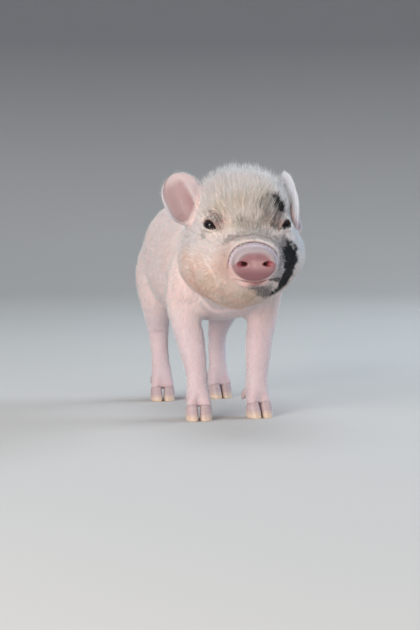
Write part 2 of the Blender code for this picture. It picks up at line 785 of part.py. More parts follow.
claws = []
for leg_name, frame in frames.items():
    foot = leg_name.replace("leg", "claw")
    side = LEGS[leg_name][0]
    for way in (1, -1):
        where = "outer" if way == side else "inner"
        claws.append(claw(f"{foot}_{where}", frame, way))
        claws.append(dewclaw(f"{foot.replace('claw', 'dewclaw')}_{where}", frame, way))

# Face: the nose disc's seat, the mouth, the sockets, the eyes and the ears
seat = block("seat", Vector((0, -20 * MM + DISC_DEPTH, 12 * MM)), (60 * MM, 40 * MM, 44 * MM))
mouth = mouth_groove()
sockets, almonds, eyes = [], [], []
for side, word in ((1, "left"), (-1, "right")):
    reach = EYE_RADIUS + GAP
    sockets.append(ball("socket", side_of(EYE_CENTRE, side), (reach, reach, reach), cutters, 28))
    almonds.append(almond_cutter(side))
    eyes.append(ball(f"eye_{word}", side_of(EYE_CENTRE, side), (EYE_RADIUS,) * 3, piglet, 20))
for tool in [seat, mouth, *sockets, *almonds, *eyes]:
    tool.data.transform(HEAD_POSE)
booleaned(head, "DIFFERENCE", [seat, *almonds, *sockets, mouth])
discard(seat, mouth, *sockets, *almonds)
disc = nose_disc()

ear_seat = grown(head, "ear_seat")
ears = []
for word, (side, line, facings, curls) in EARS.items():
    leaf = ear(f"ear_{word}", side, line, facings, curls)
    ears.append(booleaned(leaf, "DIFFERENCE", [ear_seat]))
discard(ear_seat)

flesh = [head, neck_node, torso, tail, *legs.values(), *ears]
for finish, things in ((skin, flesh), (disc_skin, [disc]), (horn, claws), (eye_finish, eyes)):
    for thing in things:
        thing.data.materials.clear()
        thing.data.materials.append(finish)
        thing.data.shade_smooth()
        thing.data.set_sharp_from_angle(angle=math.radians(40))

# The origin goes to the floor under the middle of the animal's bounding box
corners = np.array([vertex.co for thing in piglet.objects for vertex in thing.data.vertices])
middle = (corners.min(axis=0) + corners.max(axis=0)) / 2
stance = bpy.data.objects.new("stance", None)
piglet.objects.link(stance)
stance.location = (-middle[0], -middle[1], -corners[:, 2].min())
for thing in piglet.objects:
    if thing is not stance:
        thing.parent = stance
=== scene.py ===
"""A miniature piglet about a week old, life size: one skin, eyes, claws and a short bristly coat.

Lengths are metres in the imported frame, where the piglet looks along -Y and its left side is +X.
The head's own frame is in millimetres: its origin is the middle of the nose disc, +Y runs back.
"""

import math

import bmesh
import bpy
import numpy as np
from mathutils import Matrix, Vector


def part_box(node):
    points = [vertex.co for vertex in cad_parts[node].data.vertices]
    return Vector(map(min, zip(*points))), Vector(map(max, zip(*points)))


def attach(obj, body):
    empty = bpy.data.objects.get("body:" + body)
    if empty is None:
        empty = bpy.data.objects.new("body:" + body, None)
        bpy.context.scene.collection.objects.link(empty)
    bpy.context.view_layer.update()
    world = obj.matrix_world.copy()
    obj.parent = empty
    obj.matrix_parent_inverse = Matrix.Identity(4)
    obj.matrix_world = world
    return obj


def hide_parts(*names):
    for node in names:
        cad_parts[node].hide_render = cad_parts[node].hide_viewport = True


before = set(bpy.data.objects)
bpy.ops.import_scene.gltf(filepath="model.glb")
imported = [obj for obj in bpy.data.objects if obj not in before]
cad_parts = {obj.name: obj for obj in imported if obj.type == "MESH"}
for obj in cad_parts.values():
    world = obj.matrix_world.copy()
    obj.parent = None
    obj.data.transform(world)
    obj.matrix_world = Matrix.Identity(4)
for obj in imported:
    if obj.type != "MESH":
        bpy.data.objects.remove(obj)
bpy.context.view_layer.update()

MM = 0.001


# The place it stands in: a floor of pale painted board that curves up into a wall all round, four soft
# lamps and a pale sky. It isn't part of the animal. The camera looks a little down at the face, from
# the piglet's right.

def mesh_of(name, points, corners, sizes):
    """A mesh object: face k is the next sizes[k] entries of `corners`, which are rows of `points`."""
    mesh = bpy.data.meshes.new(name)
    mesh.vertices.add(len(points))
    mesh.vertices.foreach_set("co", np.asarray(points, np.float32).ravel())
    mesh.loops.add(len(corners))
    mesh.loops.foreach_set("vertex_index", np.asarray(corners, np.int32))
    mesh.polygons.add(len(sizes))
    starts = np.concatenate([[0], np.cumsum(sizes)[:-1]])
    mesh.polygons.foreach_set("loop_start", starts.astype(np.int32))
    mesh.update(calc_edges=True)
    mesh.shade_smooth()
    thing = bpy.data.objects.new(name, mesh)
    bpy.context.scene.collection.objects.link(thing)
    return thing


def closed_rings(rings):
    """Points and faces of a surface through closed rings (rings, sides, 3), each end closed on a point.

    The faces point outwards: the rings are turned round if the volume that they hold comes out negative,
    and that is a sixth of the sum of p0 . (p1 x p2) over the triangles.
    """
    count, sides = rings.shape[:2]
    points = np.concatenate([rings.reshape(-1, 3), [rings[0].mean(0), rings[-1].mean(0)]])
    row = np.arange(count - 1)[:, None] * sides
    j = np.arange(sides)
    k = (j + 1) % sides
    quads = np.stack([row + j, row + k, row + sides + k, row + sides + j], -1).reshape(-1, 4)
    near = np.stack([np.full(sides, count * sides), k, j], -1)
    far_row = (count - 1) * sides
    far = np.stack([np.full(sides, count * sides + 1), far_row + j, far_row + k], -1)
    a, b, c, d = (points[quads[:, i]] for i in range(4))
    volume = np.einsum("ij,ij->", a, np.cross(b, c)) + np.einsum("ij,ij->", a, np.cross(c, d))
    if volume < 0:
        quads, near, far = quads[:, ::-1], near[:, ::-1], far[:, ::-1]
    corners = np.concatenate([quads.ravel(), near.ravel(), far.ravel()])
    sizes = np.concatenate([np.full(len(quads), 4), np.full(2 * sides, 3)])
    return points, corners, sizes


class Wire:
    """One socket of a shader. Arithmetic on it adds Math nodes, so that a formula reads as written."""

    def __init__(self, finish, socket):
        self.finish, self.socket = finish, socket

    def maths(self, operation, first, second=0.0, clamp=False):
        settings = {"operation": operation, "use_clamp": clamp}
        return self.finish.node("ShaderNodeMath", settings, {0: first, 1: second})

    def __add__(self, other):
        return self.maths("ADD", self, other)

    def __radd__(self, other):
        return self.maths("ADD", other, self)

    def __sub__(self, other):
        return self.maths("SUBTRACT", self, other)

    def __rsub__(self, other):
        return self.maths("SUBTRACT", other, self)

    def __mul__(self, other):
        return self.maths("MULTIPLY", self, other)

    def __rmul__(self, other):
        return self.maths("MULTIPLY", other, self)

    def held(self):
        """The value, kept from 0 to 1."""
        return self.maths("ADD", self, 0.0, clamp=True)


class Finish:
    """A material on the Principled shader. `constants` are set on its sockets by name."""

    def __init__(self, name, **constants):
        self.material = bpy.data.materials.new(name)
        self.material.use_nodes = True
        self.tree = self.material.node_tree
        self.shader = self.tree.nodes["Principled BSDF"]
        for key, value in constants.items():
            self.shader.inputs[key.replace("_", " ")].default_value = value

    def node(self, kind, settings=None, sockets=None, output=0):
        """Adds a node of a type, with its settings (a ramp's stops among them) and its sockets' values."""
        made = self.tree.nodes.new(kind)
        for key, value in (settings or {}).items():
            if key == "stops":
                while len(made.color_ramp.elements) < len(value):
                    made.color_ramp.elements.new(0.5)
                for element, (place, colour) in zip(made.color_ramp.elements, value):
                    element.position, element.color = place, (*colour, 1)
            else:
                setattr(made, key, value)
        for key, value in (sockets or {}).items():
            self.join(value, made.inputs[key])
        return Wire(self, made.outputs[output])

    def join(self, value, socket):
        if isinstance(value, Wire):
            self.tree.links.new(value.socket, socket)
        elif hasattr(value, "__len__") and len(value) == 3 and len(socket.default_value) == 4:
            socket.default_value = (*value, 1)
        else:
            socket.default_value = value

    def feed(self, name, value):
        self.join(value, self.shader.inputs[name])

    def mixed(self, share, first, second):
        """A colour between two. The node keeps the share from 0 to 1."""
        return self.node("ShaderNodeMix", {"data_type": "RGBA"}, {0: share, 6: first, 7: second}, 2)

    def layered(self, colour, layers):
        """A colour with others laid over it in turn, each by its share."""
        for share, over in layers:
            colour = self.mixed(share, colour, over)
        return colour

    def place(self):
        return self.node("ShaderNodeTexCoord", output=3)

    def height(self):
        """The object's z coordinate."""
        return self.node("ShaderNodeSeparateXYZ", sockets={"Vector": self.place()}, output=2)

    def noise(self, scale, detail=2.0, stretch=None):
        """Smooth noise from 0 to 1 on the object's coordinates, `scale` bumps to a metre."""
        vector = self.place()
        if stretch:
            vector = self.node("ShaderNodeMapping", sockets={"Vector": vector, "Scale": stretch})
        return self.node("ShaderNodeTexNoise", sockets={"Vector": vector, "Scale": scale, "Detail": detail})

    def mark(self, name):
        """A number kept on the mesh's points."""
        settings = {"attribute_type": "GEOMETRY", "attribute_name": name}
        return self.node("ShaderNodeAttribute", settings, output=2)

    def bump(self, height, depth, strength):
        sockets = {"Height": height, "Distance": depth, "Strength": strength}
        return self.node("ShaderNodeBump", sockets=sockets)

    def on(self, thing):
        thing.data.materials.append(self.material)


# The sweep of the floor: distance from its middle and height, in metres
SWEEP = [
    (0.02, 0), (0.4, 0), (1.0, 0), (1.5, 0), (1.72, 0.03),
    (1.94, 0.12), (2.12, 0.28), (2.24, 0.5), (2.3, 0.8), (2.3, 1.5),
]
SWEEP_SIDES = 96
turns = np.linspace(0, 2 * math.pi, SWEEP_SIDES, endpoint=False)
profile = np.array(SWEEP)
sweep_rings = np.stack([
    profile[:, :1] * np.cos(turns),
    profile[:, :1] * np.sin(turns),
    np.broadcast_to(profile[:, 1:], (len(profile), len(turns))),
], -1)
row = np.arange(len(profile) - 1)[:, None] * SWEEP_SIDES
j = np.arange(SWEEP_SIDES)
k = (j + 1) % SWEEP_SIDES
next_row = row + SWEEP_SIDES
sweep_faces = np.stack([row + j, next_row + j, next_row + k, row + k], -1).reshape(-1, 4)
floor_corners = np.concatenate([sweep_faces.ravel(), j])
floor_sizes = np.concatenate([np.full(len(sweep_faces), 4), [SWEEP_SIDES]])
floor = mesh_of("floor", sweep_rings.reshape(-1, 3), floor_corners, floor_sizes)
board = Finish("painted_board", Roughness=0.9)
pale = board.mixed(board.noise(3.0), (0.58, 0.575, 0.56), (0.62, 0.615, 0.60))
board.feed("Base Color", board.mixed(board.height() * 2.0, pale, (0.25, 0.255, 0.265)))
board.on(floor)


def lamp(name, place, aim, size, watts, colour, glints=True):
    """A round soft lamp that faces a point. Without glints it isn't mirrored in wet eyes."""
    light = bpy.data.lights.new(name, "AREA")
    light.shape = "DISK"
    light.size, light.energy, light.color = size, watts, colour
    thing = bpy.data.objects.new(name, light)
    thing.location = place
    thing.rotation_mode = "QUATERNION"
    thing.rotation_quaternion = (Vector(aim) - Vector(place)).to_track_quat("-Z", "Y")
    thing.visible_glossy = glints
    bpy.context.scene.collection.objects.link(thing)


lamp("lamp_front", (-1.15, -1.00, 0.65), (0, -0.08, 0.09), 0.8, 12.2, (1.0, 0.98, 0.95))
lamp("lamp_top", (0.1, 0.25, 1.5), (0, -0.02, 0.1), 1.2, 6.6, (0.86, 0.94, 1.0))
lamp("lamp_side", (1.70, 0.20, 0.85), (0.02, -0.06, 0.1), 1.0, 25.0, (0.76, 0.88, 1.0), glints=False)
lamp("lamp_low", (-0.70, -1.20, 0.16), (0, -0.09, 0.08), 0.5, 11.0, (1.0, 0.77, 0.62), glints=False)
sky = bpy.data.worlds.new("pale_sky")
sky.use_nodes = True
sky.node_tree.nodes["Background"].inputs["Color"].default_value = (0.86, 0.90, 0.96, 1)
sky.node_tree.nodes["Background"].inputs["Strength"].default_value = 0.42
bpy.context.scene.world = sky
bpy.context.scene.view_settings.view_transform = "Standard"

# The head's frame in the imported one. Its turn is the CAD's, and the left eye's middle says where it is.
HEAD_PITCH, HEAD_YAW = math.radians(12), math.radians(-7.3)
EYE = np.array((21.4, 38.0, 15.8))
c, s = math.cos(HEAD_PITCH), math.sin(HEAD_PITCH)
pitch = np.array([[1, 0, 0], [0, c, -s], [0, s, c]])
c, s = math.cos(HEAD_YAW), math.sin(HEAD_YAW)
yaw = np.array([[c, -s, 0], [s, c, 0], [0, 0, 1]])
head_turn = yaw @ pitch
eye_low, eye_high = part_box("eye_left")
head_origin = np.array((eye_low + eye_high) / 2) - head_turn @ EYE * MM
NECK_JOINT, SKULL_JOINT = np.array((0, -62, 127)), np.array((0, 76, 6))
body_origin = head_origin - (NECK_JOINT - head_turn @ SKULL_JOINT) * MM


def in_head(points):
    """Packed points in the head's frame, in mm."""
    return (points - head_origin) @ head_turn / MM


def mirrored(h):
    """Places in the head's frame with its right half turned over to the left."""
    return h * np.where(h[:, :1] < 0, (-1, 1, 1), (1, 1, 1))


def from_head(points):
    return np.asarray(points) @ head_turn.T * MM + head_origin


def in_body(points):
    """Packed points measured from the floor under the body's middle plane, in mm."""
    return (points - body_origin) / MM


def from_body(points):
    return np.asarray(points) * MM + body_origin


# The photo's view: the camera's bearing and distance, and the nose disc's pixel in the picture
CAMERA_AZIMUTH, CAMERA_ELEVATION = math.radians(-14.2), math.radians(4)
CAMERA_DISTANCE, LENS, SENSOR = 0.9, 85.71, 36
MM_TO_A_PIXEL = 0.6
PICTURE_MIDDLE, DISC_PIXEL = (210, 315), (255.3, 266)
camera = bpy.data.cameras.new("camera")
camera.lens, camera.sensor_width = LENS, SENSOR
camera.clip_start, camera.clip_end = 0.01, 20
eye_point = bpy.data.objects.new("camera", camera)
a, e = CAMERA_AZIMUTH, CAMERA_ELEVATION
backwards = Vector((math.sin(a) * math.cos(e), -math.cos(a) * math.cos(e), math.sin(e)))
rightwards = Vector((math.cos(a), math.sin(a), 0))
upwards = backwards.cross(rightwards)
middle = Vector(head_origin) - rightwards * ((DISC_PIXEL[0] - PICTURE_MIDDLE[0]) * MM_TO_A_PIXEL * MM)
middle += upwards * ((DISC_PIXEL[1] - PICTURE_MIDDLE[1]) * MM_TO_A_PIXEL * MM)
eye_point.location = middle + backwards * CAMERA_DISTANCE
eye_point.rotation_mode = "QUATERNION"
eye_point.rotation_quaternion = (-backwards).to_track_quat("-Z", "Y")
bpy.context.scene.collection.objects.link(eye_point)
bpy.context.scene.camera = eye_point


# The skin's ground form: head, nose disc, neck, trunk and legs as one closed surface, soft and thin over
# fat and muscle. Copies of the CAD's flesh are swollen over the gaps between them, wrapped in one net of
# quads, evened out, and drawn in again by the swelling and by the depth of the coat.

FLESH = ["head", "nose_disc", "neck", "torso"]
FLESH += ["fore_leg_left", "fore_leg_right", "hind_leg_left", "hind_leg_right"]
FILLERS = ["eye_left", "eye_right"]
# In mm: how far the copies are swollen, the size of the net's quads, and how deep the coat lies
SWELL, GRAIN, COAT_DEPTH = 0.45, 1.56, 0.75
# Depths behind the nose disc, and a reach round each eye, within which the net is finer
FACE_DEPTH, NOSE_DEPTH, LIP_DEPTH, EYE_REACH = 49, 12.2, 19, 11.5
# Rounds of evening out: all over, on the body alone, and on the face once it is split
ALL_ROUNDS, BODY_ROUNDS, FACE_ROUNDS = 16, 22, 4


def numbers(items, key, width=1, kind=np.float32):
    """One property of all items of a Blender collection, as an array."""
    out = np.empty(len(items) * width, kind)
    items.foreach_get(key, out)
    return out.reshape(-1, width) if width > 1 else out


def eased(x):
    """0 below 0, 1 above 1, and smooth between: 3 x^2 - 2 x^3."""
    x = np.clip(x, 0, 1)
    return x * x * (3 - 2 * x)


def unit(vectors):
    return vectors / np.maximum(np.linalg.norm(vectors, axis=-1, keepdims=True), 1e-12)


def swollen(names, swell):
    """Points and triangles of merged copies of CAD nodes, each point moved out along its normal."""
    points, triangles, count = [], [], 0
    for name in names:
        shape = bmesh.new()
        shape.from_mesh(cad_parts[name].data)
        bmesh.ops.remove_doubles(shape, verts=shape.verts, dist=1e-6)
        mesh = bpy.data.meshes.new("copy")
        shape.to_mesh(mesh)
        shape.free()
        outwards = numbers(mesh.vertex_normals, "vector", 3) * swell * MM
        points.append(numbers(mesh.vertices, "co", 3) + outwards)
        triangles.append(numbers(mesh.loops, "vertex_index", kind=np.int32) + count)
        count += len(mesh.vertices)
        bpy.data.meshes.remove(mesh)
    return np.concatenate(points), np.concatenate(triangles)


def settled(thing):
    """The mesh of an object with its modifiers applied."""
    graph = bpy.context.evaluated_depsgraph_get()
    return bpy.data.meshes.new_from_object(thing.evaluated_get(graph))


def largest_part(points, quads):
    """The largest connected surface: every point takes its neighbours' lowest label until none changes."""
    label = np.arange(len(points))
    near, far = quads.ravel(), np.roll(quads, 1, axis=1).ravel()
    while True:
        low = label.copy()
        np.minimum.at(low, near, label[far])
        np.minimum.at(low, far, label[near])
        low = low[low]
        if (low == label).all():
            break
        label = low
    keep = label == np.bincount(label).argmax()
    index = np.cumsum(keep) - 1
    return points[keep], index[quads[keep[quads[:, 0]]]]


def edges_of(corners, sizes, count):
    """Every edge once, as pairs of points."""
    ends = np.cumsum(sizes) - 1
    after = np.roll(corners, -1)
    after[ends] = corners[ends - sizes + 1]
    key = np.unique(np.minimum(corners, after).astype(np.int64) * count + np.maximum(corners, after))
    return np.stack([key // count, key % count], -1)


def relaxed(points, edges, weight, rounds, pushes=(0.5, -0.53)):
    """Moves each point towards the mean of its neighbours and back again a little further, so that
    bumps go and the volume stays: p + weight * push * (mean - p), for each push in turn."""
    count = len(points)
    a, b = edges[:, 0], edges[:, 1]
    neighbours = np.bincount(a, minlength=count) + np.bincount(b, minlength=count)
    for _ in range(rounds):
        for push in pushes:
            total = np.stack([
                np.bincount(a, points[b, i], count) + np.bincount(b, points[a, i], count) for i in range(3)
            ], -1)
            points = points + (weight * push)[:, None] * (total / neighbours[:, None] - points)
    return points


def normals_of(points, corners, sizes):
    """Unit normals at the points: the sum over the corners of the cross product of the two edges there."""
    ends = np.cumsum(sizes) - 1
    after, before = np.roll(corners, -1), np.roll(corners, 1)
    after[ends] = corners[ends - sizes + 1]
    before[ends - sizes + 1] = corners[ends]
    p = points[corners]
    cross = np.cross(points[after] - p, points[before] - p)
    return unit(np.stack([np.bincount(corners, cross[:, i], len(points)) for i in range(3)], -1))


def refined(points, quads, odd, chosen):
    """Splits each chosen quad in four. A neighbour takes the new points on its sides and stays one face:
    it goes over to `odd`, the corners and sizes of the faces with more than four sides."""
    count = len(points)
    after = np.roll(quads, -1, axis=1)
    key = np.minimum(quads, after).astype(np.int64) * count + np.maximum(quads, after)
    split = np.unique(key[chosen])
    inner, inner_key = quads[chosen], key[chosen]
    middles = (points[split // count] + points[split % count]) / 2
    points = np.concatenate([points, middles, points[inner].mean(1)])
    mid = count + np.searchsorted(split, inner_key)
    centre = count + len(split) + np.arange(len(inner))
    small = [np.stack([inner[:, i], mid[:, i], centre, mid[:, i - 1]], -1) for i in range(4)]
    rest, rest_key = quads[~chosen], key[~chosen]
    place = np.searchsorted(split, rest_key)
    hit = split[np.minimum(place, len(split) - 1)] == rest_key
    beside = hit.any(1)
    woven = np.stack([rest[beside], np.where(hit[beside], count + place[beside], -1)], -1).reshape(-1, 8)
    used = woven >= 0
    odd = (np.concatenate([odd[0], woven[used]]), np.concatenate([odd[1], used.sum(1)]))
    return points, np.concatenate([rest[~beside], *small]), odd


flesh_points, flesh_corners = swollen(FLESH + FILLERS, SWELL)
lump = mesh_of("lump", flesh_points, flesh_corners, np.full(len(flesh_corners) // 3, 3))
wrap = lump.modifiers.new("wrap", "REMESH")
wrap.mode = "VOXEL"
wrap.voxel_size = GRAIN * MM
net = settled(lump)
points = numbers(net.vertices, "co", 3).astype(float)
quads = numbers(net.loops, "vertex_index", kind=np.int32).reshape(-1, 4).astype(np.int64)
bpy.data.objects.remove(lump)
bpy.data.meshes.remove(net)
points, quads = largest_part(points, quads)
odd = (np.empty(0, np.int64), np.empty(0, np.int64))


def faces():
    corners = np.concatenate([quads.ravel(), odd[0]])
    return corners, np.concatenate([np.full(len(quads), 4), odd[1]])


h = in_head(points)
edges = edges_of(*faces(), len(points))
body_share = eased((h[:, 1] - 30) / 40)
points = relaxed(points, edges, 0.55 + 0.45 * body_share, ALL_ROUNDS)
points = relaxed(points, edges, body_share, BODY_ROUNDS)

# The face's front is split once, and once more round the eyes, the nose disc and the mouth
h = in_head(points[quads].mean(1))
points, quads, odd = refined(points, quads, odd, h[:, 1] < FACE_DEPTH)
h = in_head(points[quads].mean(1))
by_eye = np.linalg.norm(mirrored(h) - EYE - (2.5, -3, 1.5), axis=1) < EYE_REACH
by_nose = (h[:, 1] < NOSE_DEPTH) | ((h[:, 1] < LIP_DEPTH) & (h[:, 2] < -8) & (h[:, 2] > -17))
points, quads, odd = refined(points, quads, odd, by_eye | by_nose)
h = in_head(points)
edges = edges_of(*faces(), len(points))
points = relaxed(points, edges, eased((53 - h[:, 1]) / 8), FACE_ROUNDS)

h, body = in_head(points), in_body(points)
normals = normals_of(points, *faces())
bare_nose = eased((6.5 - h[:, 1]) / 3)
by_foot = eased((26 - body[:, 2]) / 14)
inset = SWELL + COAT_DEPTH * (1 - bare_nose) * (1 - 0.75 * by_foot)
points = points - normals * (inset * MM)[:, None]


# The face: flat nose disc with a raised rim and two nostrils, wrinkles where the snout's skin bunches
# behind it, a closed mouth with a soft lower lip, and almond lids over each eye. All of them are worked
# into the skin as pushes along its normals, in the head's frame.

# The left eye's aim, a ball's radius, and how far over it the skin lies round the opening and at its edge,
# and under it within
EYE_AIM = unit(np.array((0.62, -0.72, 0.30)))
EYE_RADIUS, LID_OVER, LID_EDGE_OVER, LID_UNDER = 5.75, 0.4, 0.5, 1.9
# The opening of the lids: its slant, its half lengths and heights in mm, and for each eye, by its side, how
# far its inner corner is drawn out
LID_SLANT = math.radians(11)
LID_OUTER, LID_INNER, LID_ABOVE, LID_BELOW = 4.2, 4.9, 3.1, 2.2
LID_CORNER = {1: 0.10, -1: 0.30}
# The disc's reach to the sides, up and down, the power of its outline, and the share at which it ends
DISC_REACH, DISC_POWER, DISC_EDGE = (13.1, 10.2, 9.4), 2.35, 1.06
NOSTRIL, NOSTRIL_SIZE = (7.7, 1.3), (3.1, 1.55)
# The mouth from the left cheek to the middle
MOUTH_LEFT = [
    (23.4, 17, -12.2), (20.4, 14.5, -12.1), (17.2, 12, -11.7), (12.2, 8.5, -10.9), (8.0, 5.2, -10.3),
    (4.0, 4.3, -10.4), (0.0, 4.0, -10.5),
]
MOUTH = MOUTH_LEFT + [(-x, y, z) for x, y, z in reversed(MOUTH_LEFT[:-1])]
# The collar of skin behind the disc, from the right over the top to the left
COLLAR = [
    (-15.6, 10.5, -6.0), (-15.4, 9.4, -2.3), (-15.0, 8.8, 2.2), (-13.8, 8.6, 6.3), (-10.9, 9.0, 9.6),
    (-7.6, 8.9, 11.3), (-4.3, 9.1, 12.5), (0.3, 9.5, 13.0), (4.9, 9.0, 12.2), (8.2, 8.6, 10.7),
    (11.3, 8.6, 8.4), (13.4, 8.5, 5.9), (14.8, 8.8, 2.2),
]
# Wrinkles over the ridge: distance back, how much more on top, sway, depth, width and lower end
RIDGE_FOLDS = [(13.2, 2.0, 1.0, 0.30, 0.9, -1), (17.0, 2.6, 1.4, 0.22, 1.1, 2)]
# Creases of the cheeks: a line, its depth and its width
CHEEK_CREASES = [
    ([(28.3, 28.6, 0.5), (24.4, 23.7, -7.1), (19.6, 20.8, -14.6)], 0.45, 1.5),
    ([(33.5, 38, 4), (33, 35, -6), (28, 32, -17)], 0.35, 1.8),
]
# Hollows, or fullness where negative, on both sides and on one: place, width and depth
DENTS = [
    ((32, 55, 15), 14, 4.0), ((30, 40, 22), 9, 1.6), ((28, 46, -20), 13, 1.0), ((22, 52, -35), 11, 1.6),
]
ODD_DENTS = [
    ((36, 50, -4), 13, -1.8), ((27, 50, -28), 14, 4.0),
    ((18, 50, -35), 13, 3.5), ((-36, 58, -14), 13, -2.2),
]


def lid_axes():
    """Along the slit from the inner to the outer corner, and up, square to the left eye's aim."""
    level = unit(np.cross((0, 0, 1), EYE_AIM))
    rise = np.cross(EYE_AIM, level)
    slit = level * math.cos(LID_SLANT) + rise * math.sin(LID_SLANT)
    return slit, np.cross(EYE_AIM, slit)


def lid_edge(along, corner):
    """Heights of the lids' edges along the slit, upper and lower. `corner` draws out the inner corner."""
    share = np.clip(along / np.where(along > 0, LID_OUTER, LID_INNER), -1, 1)
    arch = np.maximum(1 - share**2, 0)
    power = 0.64 - corner * share
    return LID_ABOVE * arch**power * (1 + 0.08 * share), -LID_BELOW * arch ** (0.75 * power)


def lid_inside(along, above, corner):
    """How far inside the eye's opening a place is, in mm, and below 0 outside it."""
    top, bottom = lid_edge(along, corner)
    inside = np.where(above > 0, top - above, above - bottom)
    beyond = np.abs(along) - np.where(along > 0, LID_OUTER, LID_INNER)
    inside = np.where(beyond < 0, inside, -np.hypot(beyond, above))
    return np.minimum(inside, -beyond * 0.55 + 0.05)


def round_eye(h, sign):
    """Places measured from an eye's middle: along the slit, up the lids and out along the eye's aim."""
    q = h * (sign, 1, 1) - EYE
    return q @ slit, q @ lid_up, q @ EYE_AIM


def along_line(places, line):
    """Distance from each place to a bent line, and how far along it the nearest point is, from 0 to 1."""
    line = np.asarray(line, float)
    best = np.full(len(places), np.inf)
    share = np.zeros(len(places))
    for i, (start, stop) in enumerate(zip(line, line[1:])):
        run = stop - start
        t = np.clip((places - start) @ run / (run @ run), 0, 1)
        gap = np.linalg.norm(places - start - t[:, None] * run, axis=1)
        closer = gap < best
        best[closer] = gap[closer]
        share[closer] = (i + t[closer]) / (len(line) - 1)
    return best, share


def behind_ring(places, line):
    """How far places lie behind a line that runs round the snout, and 1 on it but for its fading ends.

    Both go by the turn about the snout's axis: at each turn the line has one distance back from the disc.
    """
    line = np.array(line, float)
    turn = np.arctan2(line[:, 0], line[:, 2] + 3)
    where = np.arctan2(places[:, 0], places[:, 2] + 3)
    on_line = eased((where - turn[0]) / 0.25) * eased((turn[-1] - where) / 0.25)
    return places[:, 1] - np.interp(where, turn, line[:, 1]), on_line


def groove(distance, width):
    """A bell: 1 on the line and falling off over `width`."""
    return np.exp(-((distance / width) ** 2))


def spot(places, middle, width):
    """A bell round a point."""
    return groove(np.linalg.norm(places - middle, axis=1), width)


def disc_share(h):
    """How far out on the nose disc a place is: 0 in the middle, 1 at the rim."""
    x = np.abs(h[:, 0]) / (DISC_REACH[0] * (1 - 0.14 * np.clip(-h[:, 2] / DISC_REACH[2], 0, 1)))
    z = np.where(h[:, 2] > 0, h[:, 2] / DISC_REACH[1], -h[:, 2] / DISC_REACH[2])
    return (x**DISC_POWER + z**DISC_POWER) ** (1 / DISC_POWER)


def nostril_share(h):
    """0 in a nostril's middle, 1 at its edge. It is an oval that slants a little up towards the outside."""
    lean = math.radians(-5)
    x, z = np.abs(h[:, 0]) - NOSTRIL[0], h[:, 2] - NOSTRIL[1]
    across = x * math.cos(lean) - z * math.sin(lean)
    up = x * math.sin(lean) + z * math.cos(lean)
    return np.hypot(across / NOSTRIL_SIZE[0], up / NOSTRIL_SIZE[1])


slit, lid_up = lid_axes()
h = in_head(points)
out = normals_of(points, *faces()) @ head_turn
dent = sum(deep * spot(mirrored(h), place, wide) for place, wide, deep in DENTS)
dent += sum(deep * spot(h, place, wide) for place, wide, deep in ODD_DENTS)
h -= out * dent[:, None]

# Nose disc
front = (h[:, 1] < 6) & (out[:, 1] < -0.25)
share = disc_share(h)
on_disc = front & (share < DISC_EDGE)
level = -0.45 + 1.35 * np.clip(share, 0, DISC_EDGE) ** 7
settle = np.where(on_disc, eased((DISC_EDGE - share) / 0.12), 0)
h[:, 1] += settle * (level - h[:, 1])
pit = nostril_share(h)
upper = eased(h[:, 2] / 4)
outer_flesh = eased((np.abs(h[:, 0]) - 6.9) / 2.0)
push = 3.9 * (1 - 0.78 * outer_flesh) * eased((1.12 - pit) / 0.62)
push -= 0.45 * groove(pit - 1.42, 0.3) * (h[:, 2] < 6)
push -= 0.55 * groove(share - 0.87, 0.09) * (0.35 + 0.65 * upper)
push += 0.30 * groove(share - 0.70, 0.10) * upper
push -= 0.30 * groove(h[:, 0], 2.2) * eased((h[:, 2] + 3) / 3)
push += 0.25 * groove(h[:, 2] + 5.4, 0.7) * groove(np.abs(h[:, 0]) - 6.0, 3.2)
h[:, 1] += push * np.where(on_disc, 1, 0)

# Skin behind the disc: the soft collar that it is pushed back into, a fainter wrinkle in front of that one,
# and two shallow ones across the ridge of the snout
off_disc = np.where(share > 1.0, 1.0, 0.0)
behind_collar, collar_ends = behind_ring(h, COLLAR)
to_side = eased(np.abs(np.arctan2(h[:, 0], h[:, 2] + 3)) / 1.3)
behind_second = behind_collar + 1.7 + 0.5 * to_side
second_ends = collar_ends * (1 - 0.8 * eased(to_side * 1.6 - 0.6))
fold = -0.85 * groove(behind_collar, 0.62) * collar_ends
fold += (0.45 * groove(behind_collar - 1.9, 1.0) + 0.25 * groove(behind_collar + 1.5, 0.8)) * collar_ends
fold += -0.32 * groove(behind_second, 0.5) * second_ends
side_angle = np.arctan2(h[:, 2], np.abs(h[:, 0]))
drift = 0.5 * np.sin(h[:, 0] * 0.55 + 1.0) + 0.25 * np.sin(h[:, 0] * 1.3)
for back, over, sway, deep, wide, low in RIDGE_FOLDS:
    behind_fold = h[:, 1] - (back + over * eased(side_angle)) - sway * drift
    fold += -deep * groove(behind_fold, wide) * eased((h[:, 2] - low) / 6)
fold *= off_disc
# Painted shade in the collar's fold behind the disc and in the fainter wrinkle before it, kept as a mask
first_crease = groove(behind_collar, 0.85 - 0.25 * to_side) * collar_ends
crease_shade = np.maximum(first_crease, 0.34 * groove(behind_second, 0.75) * second_ends) * off_disc

# Mouth, chin and the soft creases of the cheeks
lips, along_lips = along_line(h, MOUTH)
# A mask along the mouth's line, for painted shade in its slit and for bare skin there
mouth = groove(lips, 0.85) * (1 - 0.6 * np.abs(2 * along_lips - 1) ** 3)
fold += -1.15 * groove(lips, 0.55) + 0.42 * groove(lips - 1.5, 0.8) * (h[:, 1] < 12)
for sign in (1, -1):
    for line, deep, wide in CHEEK_CREASES:
        crease, where = along_line(h, np.array(line) * (sign, 1, 1))
        fold += -deep * groove(crease, wide) * np.sin(math.pi * np.clip(where, 0.05, 0.95))
h += out * fold[:, None]

